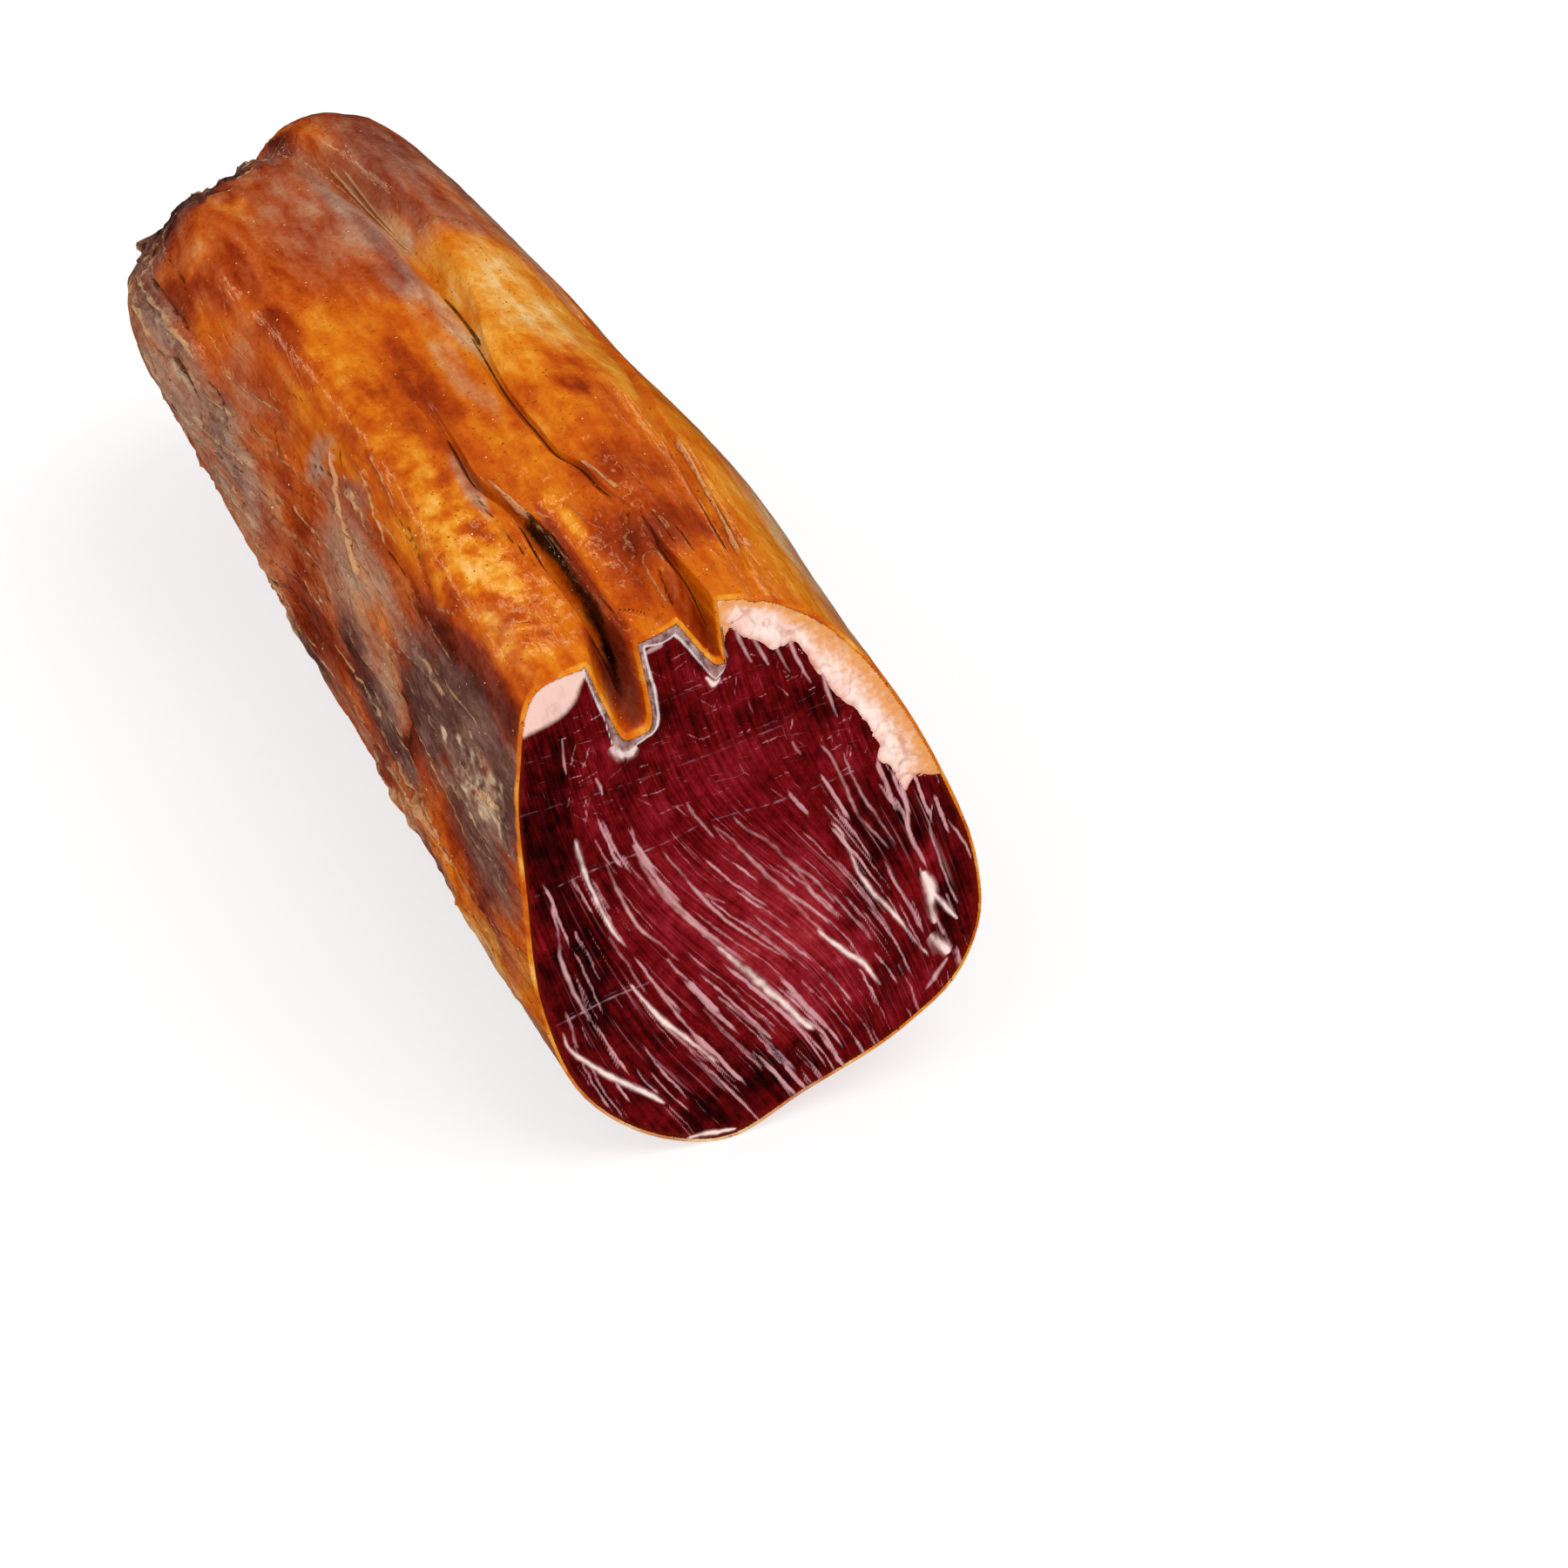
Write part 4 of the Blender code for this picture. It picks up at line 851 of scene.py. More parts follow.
def layered(across, along, seed, layers):
    """Noise of several sizes added up, each half the size and half the strength."""
    total = np.zeros(np.broadcast(across, along).shape)
    for layer in range(layers):
        total += grain(across * 2 ** layer, along * 2 ** layer, seed + layer) / 2 ** layer
    return total / 1.6


def noise(name, across, along, moved=0.0):
    """One of the seeded noises at places in mm, moved across by some of its cells."""
    strength, wide, tall, seed, layers = NOISES[name]
    return strength * layered(across / wide + moved, along / tall, seed, layers)


def near_line(points, line, pieces=5):
    """Each point's distance from a smooth line, and how far along the line it is nearest."""
    knots = np.array(line, float)
    steps = np.concatenate([[0.0], np.cumsum(np.hypot(*np.diff(knots, axis=0).T))])
    fine = np.linspace(0.0, steps[-1], pieces * len(knots))
    path = np.stack([through(steps, knots[:, axis], fine) for axis in (0, 1)], axis=-1)
    gap = np.full(len(points), 1e9)
    place = np.zeros(len(points))
    for index in range(len(path) - 1):
        run = path[index + 1] - path[index]
        away = points - path[index]
        share = np.clip(away @ run / max(run @ run, 1e-12), 0.0, 1.0)
        here = np.hypot(*(away - share[:, None] * run).T)
        closer = here < gap
        gap[closer] = here[closer]
        place[closer] = (index + share[closer]) / (len(path) - 1)
    return gap, place


def draw_line(layer, points, line, width, strength, peak=0.5, blunt=0.0):
    """Raise a painted layer along a line that is widest at peak and thins to its ends."""
    knots = np.array(line, float)
    margin = 3.0 * width
    low, high = knots.min(axis=0) - margin, knots.max(axis=0) + margin
    close = np.flatnonzero(np.all((points > low) & (points < high), axis=1))
    if len(close) == 0:
        return
    gap, place = near_line(points[close], line)
    side = np.where(place < peak, place / peak, (1.0 - place) / (1.0 - peak))
    reach = width * (0.25 + 0.75 * np.sqrt(np.clip(side, blunt, 1.0)))
    ends = eased(np.minimum(place, 1.0 - place) * 12.0 + blunt)
    layer[close] = np.maximum(layer[close], strength * bump(gap, reach * 0.6) * ends)


def near_field(layer, points, line, width, strength, reach):
    """Raise a painted layer to strength on a line of a width, falling to 0 at reach from it."""
    knots = np.array(line, float)
    low, high = knots.min(axis=0) - reach - width, knots.max(axis=0) + reach + width
    close = np.flatnonzero(np.all((points > low) & (points < high), axis=1))
    if len(close) == 0:
        return
    gap, place = near_line(points[close], line)
    ends = np.clip(np.minimum(place, 1.0 - place) * 6.0, 0.0, 1.0)
    half = 0.5 * width * (0.3 + 0.7 * ends)
    shown = np.clip(1.0 - (gap - half) / reach, 0.0, 1.0) * (0.82 + 0.18 * ends)
    layer[close] = np.maximum(layer[close], shown * (0.88 + 0.12 * strength))


def linear(code):
    """Linear colour of an sRGB hex value."""
    parts = [int(code[place:place + 2], 16) / 255.0 for place in (1, 3, 5)]
    return (*(part / 12.92 if part <= 0.04045 else ((part + 0.055) / 1.055) ** 2.4
              for part in parts), 1.0)


def add(tree, kind, links=None, **settings):
    """Add a node with its settings, fed by other nodes' outputs or by plain values."""
    made = tree.nodes.new(kind)
    for name, value in settings.items():
        setattr(made, name, value)
    for name, value in (links or {}).items():
        socket = made.inputs[name]
        if isinstance(value, bpy.types.NodeSocket):
            tree.links.new(value, socket)
        else:
            socket.default_value = value
    return made


def chosen(value, settings):
    """A finish's value: a number as it stands, a hex colour, or the setting of that name."""
    if not isinstance(value, str):
        return value
    return linear(value) if value.startswith("#") else getattr(settings, value)


def make_material(name, finish, settings):
    """A material made from a finish."""
    material = bpy.data.materials.new(name)
    material.use_nodes = True
    tree = material.node_tree
    shader = tree.nodes["Principled BSDF"]
    values = {"place": add(tree, "ShaderNodeTexCoord").outputs["Object"], "one": 1.0}
    for mask in finish["masks"]:
        painted = add(tree, "ShaderNodeAttribute", attribute_name=mask)
        values[mask] = painted.outputs["Vector" if mask == "lane" else "Fac"]
    for key, where, size, stretch, seed, detail in finish["noises"]:
        scale = [1.0 / (size * MM * part) for part in stretch]
        spot = add(tree, "ShaderNodeVectorMath", {0: values[where], 1: scale},
                   operation="MULTIPLY").outputs[0]
        noise = add(tree, "ShaderNodeTexNoise",
                    {"Vector": spot, "Scale": 1.0, "Detail": detail, "W": seed},
                    noise_dimensions="4D").outputs["Fac"]
        values[key] = add(tree, "ShaderNodeMath", {0: noise, 1: 0.5},
                          operation="SUBTRACT").outputs[0]
    if "lobes" in finish:
        spot = add(tree, "ShaderNodeVectorMath",
                   {0: values["place"], 1: [1.0 / (finish["lobes"] * MM)] * 3},
                   operation="MULTIPLY").outputs[0]
        values["lobes"] = add(tree, "ShaderNodeTexVoronoi", {"Vector": spot, "Scale": 1.0},
                              feature="SMOOTH_F1").outputs["Distance"]
    for key, parts, steps in finish["values"]:
        total = 0.0
        for part, weight in parts.items():
            total = add(tree, "ShaderNodeMath", {0: values[part], 1: weight, 2: total},
                        operation="MULTIPLY_ADD").outputs[0]
        for step, *terms in steps:
            if step == "RISE":
                total = add(tree, "ShaderNodeMapRange",
                            {"Value": total, "From Min": terms[0], "From Max": terms[1]},
                            interpolation_type="SMOOTHSTEP").outputs["Result"]
            else:
                links = {place: values[term] for place, term in enumerate(terms, 1)}
                total = add(tree, "ShaderNodeMath", {0: total, **links},
                            operation=step).outputs[0]
        values[key] = total
    colour = None
    for value, laid_by, codes in finish["shades"]:
        ramp = add(tree, "ShaderNodeValToRGB", {"Fac": values[value]})
        codes = codes.split()
        stops = ramp.color_ramp.elements
        stops.remove(stops[1])
        stops[0].position = 0.0
        stops[0].color = linear(codes[0])
        for place, code in enumerate(codes[1:], 1):
            stops.new(place / (len(codes) - 1)).color = linear(code)
        shade = ramp.outputs["Color"]
        colour = shade if laid_by is None else add(
            tree, "ShaderNodeMix", {0: values[laid_by], 6: colour, 7: shade},
            data_type="RGBA").outputs[2]
    for value, weight, code in finish["layers"]:
        share = add(tree, "ShaderNodeMath", {0: values[value], 1: weight},
                    operation="MULTIPLY").outputs[0]
        colour = add(tree, "ShaderNodeMix", {0: share, 6: colour, 7: chosen(code, settings)},
                     data_type="RGBA").outputs[2]
    tree.links.new(colour, shader.inputs["Base Color"])
    for socket, value in finish["surface"].items():
        shader.inputs[socket].default_value = chosen(value, settings)
    under = {}
    for value, strength, high, sockets in finish["relief"]:
        relief_node = add(tree, "ShaderNodeBump",
                          {"Height": values[value], "Strength": strength,
                           "Distance": high * MM, **under})
        under = {"Normal": relief_node.outputs["Normal"]}
        for socket in sockets:
            tree.links.new(under["Normal"], shader.inputs[socket])
    return material


def link(name, mesh, material):
    """Put a mesh in the scene as a piece that rides on the loin."""
    piece = bpy.data.objects.new(name, mesh)
    bpy.context.scene.collection.objects.link(piece)
    mesh.materials.append(material)
    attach(piece, "root")
    return piece


def set_mask(mesh, name, values):
    """Store a painted mask on a mesh, one number for each vertex."""
    layer = mesh.attributes.new(name, "FLOAT", "POINT")
    layer.data.foreach_set("value", np.asarray(values, np.float32))


def wrinkles(shares, alongs, high):
    """Fine shape of the casing: how far it stands out, the painted shade of its fine creases,
    and where it is creased.

    The wrinkles are up to about high mm where the casing is creased all over.
    """
    across = shares * AROUND
    left, flank, below_top = LEFT_CREASED
    right, side, under = RIGHT_CREASED
    end, gathered = END_CREASED
    weight = (TOP_CREASED + left * risen(shares, *flank) * risen(shares, *below_top)
              + right * (risen(shares, *side) + risen(shares, *under))
              + end * risen(alongs, *gathered))
    wander = noise("wander", across, alongs)
    slow = noise("slow_wrinkles", across, alongs, wander)
    quick = noise("quick_wrinkles", across, alongs, 2.0 * wander)
    lines = np.maximum(bump(slow, 0.10), 0.7 * bump(quick, 0.13)) * weight
    height = noise("swell", across, alongs) + noise("grit", across, alongs)
    height += weight * high * (slow + 0.5 * quick) - WRINKLE_LINE * lines
    creases = np.maximum(1.0 - np.abs(slow) / WRINKLE_SPAN, 0.97 - np.abs(quick) / WRINKLE_SPAN)
    creases = np.clip(creases - 0.30 * (1.0 - np.clip(weight, 0.0, 1.0)), 0.0, 1.0)
    return height * risen(alongs, *WRINKLED), creases, np.clip(weight + 0.1, 0.0, 1.0)


def strands(count):
    """Seeded strands: a count on the left side, some on the right, and gathers at the far end."""
    rng = np.random.default_rng(17)
    for _ in range(count):
        share, start, long = (rng.uniform(*span) for span in LEFT_STRANDS)
        slant = rng.normal(0.0, 0.010)
        bend = rng.normal(0.0, 0.004)
        line = [(share + slant * t + bend * math.sin(math.pi * t), start + long * t)
                for t in (0.0, 0.3, 0.6, 1.0)]
        kind, rise = (("crease", -0.55), ("ridge", 0.5), ("ridge", 0.4))[rng.integers(3)]
        yield kind, rng.uniform(0.15, 0.55), rise, rng.uniform(0.2, 1.0), line
    for _ in range(RIGHT_STRAND_COUNT):
        share, start, long = (rng.uniform(*span) for span in RIGHT_STRANDS)
        slant, bend = rng.normal(0.0, 0.008, 2)
        line = [(share, start), (share + slant, start + 0.5 * long), (share + bend, start + long)]
        kind, rise = (("crease", -0.5), ("ridge", 0.4))[rng.integers(2)]
        yield kind, rng.uniform(0.1, 0.5), rise, rng.uniform(0.0, 0.8), line
    for _ in range(GATHER_COUNT):
        share = rng.uniform(*GATHER_SHARES)
        place = GATHER_END - GATHER_SPAN * rng.uniform() ** 1.5
        part = rng.uniform(0.010, 0.040)
        bend, tip = rng.normal(0.0, 1.2, 2)
        line = [(share, place), (share + 0.5 * part, place + bend), (share + part, place + tip)]
        kind, rise = (("crease", -0.7), ("ridge", 0.6))[rng.integers(2)]
        yield kind, rng.uniform(0.4, 0.9), rise, rng.uniform(0.4, 1.0), line


def shifted(points):
    """Points of the form moved to where the solids stand, in metres."""
    return (points - SHIFT) * MM


def form_rows(alongs):
    """Shares and sinks of the form's sections, with their fine relief left out."""
    shares, sinks = [], []
    for along in alongs:
        row, folds = ring_shares(along)
        shares.append(row)
        sinks.append(fold_depth(row, folds) - relief(row, along))
    return np.array(shares), np.array(sinks)


def find_shift():
    """The form's low corner and middle against the solids' box."""
    alongs = stations()[::6]
    shares, sinks = form_rows(alongs)
    points = np.array([body_ring(*row) for row in zip(alongs, shares, sinks)])
    low, high = points.min(axis=(0, 1)), points.max(axis=(0, 1))
    cut = body_ring(0.0, *[row[0] for row in form_rows([0.0])])
    return np.array([(low[0] + high[0]) / 2, cut[:, 1].min() - CAD_LOW.y / MM, low[2]])


SHIFT = find_shift()


def cut_outline(inset):
    """The casing's outline on the cut, drawn in by inset: across and up the slope."""
    shares, sinks = form_rows([0.0])
    ring = body_ring(0.0, shares[0], sinks[0])
    flat = np.stack([ring[:, 0], ring[:, 2] / math.cos(CUT_LEAN)], axis=-1)
    run = np.roll(flat, -2, axis=0) - np.roll(flat, 2, axis=0)
    inward = np.stack([run[:, 1], -run[:, 0]], axis=-1)
    inward /= np.hypot(*inward.T)[:, None]
    return flat + inward * inset


def on_cut(flat, behind):
    """Points given across and up the slope of the cut, at a depth behind it."""
    across, up = flat.T
    return np.stack([across, up * math.sin(CUT_LEAN) + behind * math.cos(CUT_LEAN),
                     up * math.cos(CUT_LEAN) - behind * math.sin(CUT_LEAN)], axis=-1)


def fold_creases(shares, along):
    """How near a point is to the line of a fold, where the fold is narrow, for painted shade
    there.
    """
    near = np.zeros_like(shares)
    for fold in (LEFT_FOLD, MIDDLE_FOLD, RIGHT_FOLD):
        line, left, right, deep = fold_line(fold, along)
        shown = eased((deep - 0.15) / 0.6) * eased((0.028 - right + left) / 0.010)
        if fold is LEFT_FOLD:
            shown *= eased((96.0 - along) / 14.0)
        gap = np.abs(shares - line) * AROUND
        near = np.maximum(near, shown * np.clip(1.02 - gap / REACH, 0.0, 1.0))
    return near


def make_casing(settings):
    """The casing: a closed skin round the loin, folded in at the cut to hold the lean."""
    alongs = stations()
    shares, sinks = form_rows(alongs)
    lengths = np.repeat(alongs[:, None], shares.shape[1], axis=1)
    masks, fine = paint_casing(shares, lengths, settings)
    # Painted shade along the lines of the narrow folds
    for row, along in enumerate(alongs):
        masks["crease"][row] = np.maximum(masks["crease"][row],
                                          fold_creases(shares[row], along))
    resting = bump(np.minimum(shares, 1.0 - shares), 0.05)
    fine *= 1.0 - resting
    rows = [body_ring(along, share, sink - rise)
            for along, share, sink, rise in zip(alongs, shares, sinks, fine)]
    rim = [on_cut(cut_outline(inset), behind) for inset, behind in reversed(RIM[1:])]
    rows = np.array(rim + rows)
    rows[:, :, 2] = np.maximum(rows[:, :, 2], 0.0)
    edge = noise("rim", shares[0] * AROUND, 0.0 * shares[0])
    low = bump(np.minimum(shares[0], 1.0 - shares[0]), 0.12)
    rim_masks = {"tone": 0.66 + 0.16 * edge + 0.1 * low, "veil": 0.1 + 0.5 * low,
                 "stain_and_fold_shade": 0.35 * np.clip(-edge, 0.0, 1.0), "pale": 0.3 * np.clip(edge, 0, 1)}
    for name, values in masks.items():
        at_rim = np.tile(rim_masks.get(name, 0.0 * edge), (len(rim) + 1, 1))
        masks[name] = np.concatenate([at_rim, values[1:]])

    row_count, round_count, _ = rows.shape
    shape = bmesh.new()
    bmesh.ops.create_grid(shape, x_segments=round_count, y_segments=row_count - 1, size=0.5)
    cell = shape.verts.layers.int.new("cell")
    places = shifted(rows)
    for vert in shape.verts:
        column = round((vert.co.x + 0.5) * round_count) % round_count
        row = round((vert.co.y + 0.5) * (row_count - 1))
        vert[cell] = row * round_count + column
        vert.co = places[row, column]
    bmesh.ops.remove_doubles(shape, verts=shape.verts, dist=1e-6)
    bmesh.ops.holes_fill(shape, edges=[edge for edge in shape.edges if edge.is_boundary],
                         sides=0)
    bmesh.ops.recalc_face_normals(shape, faces=shape.faces)
    mesh = bpy.data.meshes.new("casing")
    shape.to_mesh(mesh)
    shape.free()
    mesh.shade_smooth()
    cells = np.zeros(len(mesh.vertices), np.int32)
    mesh.attributes["cell"].data.foreach_get("value", cells)
    for name, values in masks.items():
        set_mask(mesh, name, values.ravel()[cells])
    mesh.attributes.remove(mesh.attributes["cell"])
    return mesh


def reach_of(side, ahead, wide, tall, turn):
    """How far out of a turned ellipse a point lies: 0 at its middle and 1 on its edge."""
    turn = math.radians(turn)
    return np.hypot((side * math.cos(turn) + ahead * math.sin(turn)) / wide,
                    (ahead * math.cos(turn) - side * math.sin(turn)) / tall)


def paint_casing(shares, alongs, settings):
    """Painted masks of the casing, and its fine relief."""
    height, creases, creased = wrinkles(shares, alongs, settings.wrinkle_height / MM)
    height = height.ravel()
    places = np.stack([shares.ravel() * AROUND, alongs.ravel()], axis=-1)
    across, along = places.T
    waver = noise("waver", across, along)
    drift = noise("drift", across, along, DRIFT_MOVED)
    kinds = {name: np.zeros(shares.size) for name in (*PATCHES, "ridge")}
    kinds["crease"] = creases.ravel()
    for name, patches in PATCHES.items():
        for share, middle, wide, tall, turn, strength in patches:
            loose = min(1.0, wide / 6.0)
            reach = reach_of(across - share * AROUND + waver * loose,
                             along - middle + drift * loose, wide, tall, turn)
            soft = 0.8 + 0.6 * min(1.0, wide / 14.0)
            shown = strength * eased((1.0 - reach) / soft + 0.45)
            kinds[name] = np.maximum(kinds[name], shown)
    # A crease's dark colour is painted shade, and a ridge's pale colour partly a painted highlight
    for name, width, rise, strength, line in (*LINES, *strands(settings.strand_count)):
        line = np.array(line) * (AROUND, 1.0)
        drawn = np.zeros(shares.size)
        draw_line(drawn, places, line, max(width, 0.8), 1.0)
        height += rise * drawn
        near_field(kinds[name], places, line, width, strength, REACH)
    # Greyer and a little darker under the loin and on its right side: partly the casing's colour,
    # partly a painted sheen
    under = np.clip(eased((0.13 - shares) / 0.05) + eased((shares - 0.60) / 0.05), 0.0, 1.0)
    patchy = noise("patchy", across, along)
    masks = {"tone": 0.56 + under.ravel() * (0.14 * patchy - 0.06),
             "veil": under.ravel() * np.clip(0.42 + 0.5 * patchy, 0.0, 1.0),
             "crease": kinds["crease"], "ridge": kinds["ridge"], "stain_and_fold_shade": kinds["stain_and_fold_shade"],
             "pale": kinds["cream"], "blotch": kinds["blotch"], "creased": creased.ravel()}
    for name, (lighter, greyer) in PATCH_KINDS.items():
        masks["tone"] = masks["tone"] + lighter * kinds[name]
        masks["veil"] = masks["veil"] + greyer * kinds[name] * (1.0 - masks["veil"])
    beyond = eased((along - FADE_FROM) / FADE_SPAN)
    for name, value in FADED.items():
        masks[name] = masks[name] * (1.0 - beyond) + value * beyond
    return ({name: values.reshape(shares.shape) for name, values in masks.items()},
            height.reshape(shares.shape))


def inside(points, outline):
    """Which points lie in a closed outline."""
    within = np.zeros(len(points), bool)
    x, y = points.T
    ends = np.roll(outline, -1, axis=0)
    for (ax, ay), (bx, by) in zip(outline, ends):
        if ay == by:
            continue
        crosses = (ay > y) != (by > y)
        within ^= crosses & (x < (bx - ax) * (y - ay) / (by - ay) + ax)
    return within


def make_plate(name, keep, low, high):
    """A thin closed plate with a fine front, flat at the origin: across, up and depth."""
    wide, tall = (round((high[axis] - low[axis]) / CELL) for axis in (0, 1))
    shape = bmesh.new()
    bmesh.ops.create_grid(shape, x_segments=wide, y_segments=tall, size=0.5)
    places = np.array([vert.co for vert in shape.verts])[:, :2] + 0.5
    places = low + places * (wide * CELL, tall * CELL)
    kept = keep(places)
    for vert, place in zip(shape.verts, places):
        vert.co = (*place, 0.0)
    doomed = [vert for vert, stays in zip(shape.verts, kept) if not stays]
    bmesh.ops.delete(shape, geom=doomed, context="VERTS")
    stray = [vert for vert in shape.verts if not vert.link_faces]
    bmesh.ops.delete(shape, geom=stray, context="VERTS")
    edges = [edge for edge in shape.edges if edge.is_boundary]
    made = bmesh.ops.extrude_edge_only(shape, edges=edges)
    back = [item for item in made["geom"] if isinstance(item, bmesh.types.BMVert)]
    bmesh.ops.translate(shape, verts=back, vec=(0.0, 0.0, PLATE_THICK))
    bmesh.ops.holes_fill(shape, edges=[edge for edge in shape.edges if edge.is_boundary],
                         sides=0)
    bmesh.ops.recalc_face_normals(shape, faces=shape.faces)
    mesh = bpy.data.meshes.new(name)
    shape.to_mesh(mesh)
    shape.free()
    mesh.shade_smooth()
    return mesh


def plate_places(mesh):
    """A flat plate's points across and up, and their depth."""
    places = np.zeros(len(mesh.vertices) * 3)
    mesh.vertices.foreach_get("co", places)
    places = places.reshape(-1, 3)
    return places[:, :2], places[:, 2]


def stand_plate(mesh, flat, depth, behind, proud):
    """Move a flat plate to the cut, its front raised by proud.

    That mirrors the plate, so its faces are turned to point outwards again.
    """
    front = depth < PLATE_THICK / 2
    points = on_cut(flat, behind + depth - np.where(front, proud, 0.0))
    mesh.vertices.foreach_set("co", shifted(points).ravel())
    mesh.flip_normals()
    mesh.update()


def fat_side(flat):
    """Signed distance past the fat's lower edge, more than zero in the fat."""
    area = inside(flat, np.array(FAT_EDGE + FAT_BEYOND))
    gap, _ = near_line(flat, FAT_EDGE)
    return np.where(area, gap, -gap) + noise("fat_edge", *flat.T)


def grain_slope(across, up):
    """How far right the grain of the lean runs for each millimetre down."""
    middle = 0.85 * bump(across - 6.0, 23.0) * bump(up - 38.0, 24.0)
    return 0.15 + middle + 0.4 * eased((30.0 - up) / 24.0) * bump(across + 8.0, 26.0)


def follow_grain(across, up, drop, steps=8):
    """Follow the grain down by drop, or up where drop is below zero."""
    for _ in range(steps):
        across = across + grain_slope(across, up) * drop / steps
        up = up - drop / steps
    return across


def laces():
    """Seeded thin veins between the drawn ones, along the grain: width, strength, line."""
    rng = np.random.default_rng(29)
    for _ in range(LACE_COUNT):
        across, up = rng.uniform(-27.0, 40.0), rng.uniform(8.0, 60.0)
        long = rng.uniform(3.0, 17.0)
        line = []
        for _ in range(5):
            line.append((across, up))
            across += grain_slope(across, up) * long / 4.0 + rng.normal(0.0, 0.16)
            up -= long / 4.0
        yield 0.05 + 0.5 * rng.uniform() ** 2, rng.uniform(-0.3, 0.9), line


def scratches():
    """Seeded short scratches on the upper part of the lean, as lines."""
    rng = np.random.default_rng(31)
    for _ in range(SCRATCH_COUNT):
        start = np.array((rng.uniform(-24.0, 30.0), rng.uniform(56.0, 85.0)))
        turn = math.radians((14.0, 14.0, 72.0, -40.0)[rng.integers(4)] + rng.normal(0.0, 7.0))
        run = rng.uniform(0.8, 5.0) * np.array((math.cos(turn), math.sin(turn)))
        yield 0.05, rng.uniform(-0.6, 0.5), (start, start + run)


def edge_gap(flat, edge):
    """Each point's distance from the cut's outline."""
    coarse = np.concatenate([edge[::5], edge[:1]])
    return near_line(flat, coarse, 1)[0]


def make_lean(settings):
    """The lean of the cut, with its marbling, jelly and saw marks."""
    edge = cut_outline(LEAN_INSET)
    low, high = edge.min(axis=0), edge.max(axis=0)

    def keep(places):
        within = inside(places, edge)
        within[within] = fat_side(places[within]) < 1.2
        return within

    mesh = make_plate("lean", keep, low, high)
    flat, depth = plate_places(mesh)
    names = ("vein", "white", "lace", "jelly", "jelly_highlight", "mark", "tallow", "tone")
    masks = {name: np.zeros(len(flat)) for name in names}
    across, up = flat.T
    waver, shake = (np.stack([noise(f"{name}_{axis}", across, up) for axis in ("across", "up")],
                             axis=-1) for name in ("vein_waver", "vein_shake"))
    shaken = flat + waver + shake
    lane = follow_grain(across, up, up - 45.0)
    for width, strength, line in laces():
        near_field(masks["lace"], shaken, line, width, strength, FINE_REACH)
    for width, peak, line in VEINS:
        width *= settings.marbling_width
        draw_line(masks["vein"], shaken, line, width * 0.8, 1.0, peak)
        if width > WIDE_VEIN:
            draw_line(masks["white"], shaken, line, width * 0.5, 1.0, peak)
    patchy = 0.85 + noise("vein_breaks", lane, up)
    masks["vein"] *= np.clip(patchy, 0.4, 1.1)
    masks["white"] *= np.clip(patchy, 0.3, 1.1)
    for width, strength, line in SAW_MARKS:
        dashes = 0.55 + noise("dashes", across, up)
        mark = np.zeros(len(flat))
        draw_line(mark, flat, line, width, strength, blunt=1.0)
        draw_line(mark, flat, np.array(line) + (0.0, 0.7), width, 0.4 * strength, blunt=1.0)
        masks["mark"] = np.maximum(masks["mark"], mark * dashes)
    for width, strength, line in scratches():
        near_field(masks["lace"], shaken, line, width, strength, FINE_REACH)
    gap = edge_gap(flat, edge)
    close = np.flatnonzero((up > 62.0) & (across > JELLY[0][0]) & (across < JELLY[-1][0]))
    near = near_line(flat[close], edge[edge[:, 1] > 58.0], 1)[0]
    thick = np.interp(across[close], *np.transpose(JELLY)) * (1.0 + 0.8 * waver[close, 0])
    masks["jelly"][close] = eased((thick - near) / 0.3) * eased(thick / 0.5)
    # A painted highlight along the jelly's outer edge
    masks["jelly_highlight"][close] = bump(near - thick, 0.28) * eased(thick / 0.8)
    side, _ = near_line(flat, TALLOW_EDGE)
    above = inside(flat, np.array(TALLOW_EDGE + TALLOW_BEYOND))
    masks["tallow"] = above * eased((side + 0.3) / 1.6) * (0.75 + 0.25 * eased((3.4 - gap) / 3.0))
    masks["tone"] = 0.36 + noise("lean_tone", across, up)
    for kind, place_x, place_y, wide, tall, turn, strength in LEAN_PATCHES:
        reach = reach_of(across - place_x + 13.0 * waver[:, 0],
                         up - place_y + 13.0 * waver[:, 1], wide, tall, turn)
        masks["tone"] += LEAN_KINDS[kind] * strength * eased((1.6 - reach) / 1.3)
    masks["grainy"] = eased((60.0 - up) / 12.0) * eased((up - 3.0) / 8.0) * eased(gap / 4.0)
    masks["scored"] = eased((up - 52.0) / 10.0)
    masks["amber_edge"] = 0.9 * eased((1.3 - gap) / 1.2)
    stand_plate(mesh, flat, depth, LEAN_BEHIND,
                0.05 * masks["vein"] + 0.25 * masks["jelly"] + 0.15 * masks["jelly_highlight"]
                + noise("lean_rise", across, up))
    for name, values in masks.items():
        set_mask(mesh, name, values)
    lanes = mesh.attributes.new("lane", "FLOAT_VECTOR", "POINT")
    run = np.stack([lane, up, 0.0 * up], axis=-1) * MM
    lanes.data.foreach_set("vector", run.astype(np.float32).ravel())
    return mesh


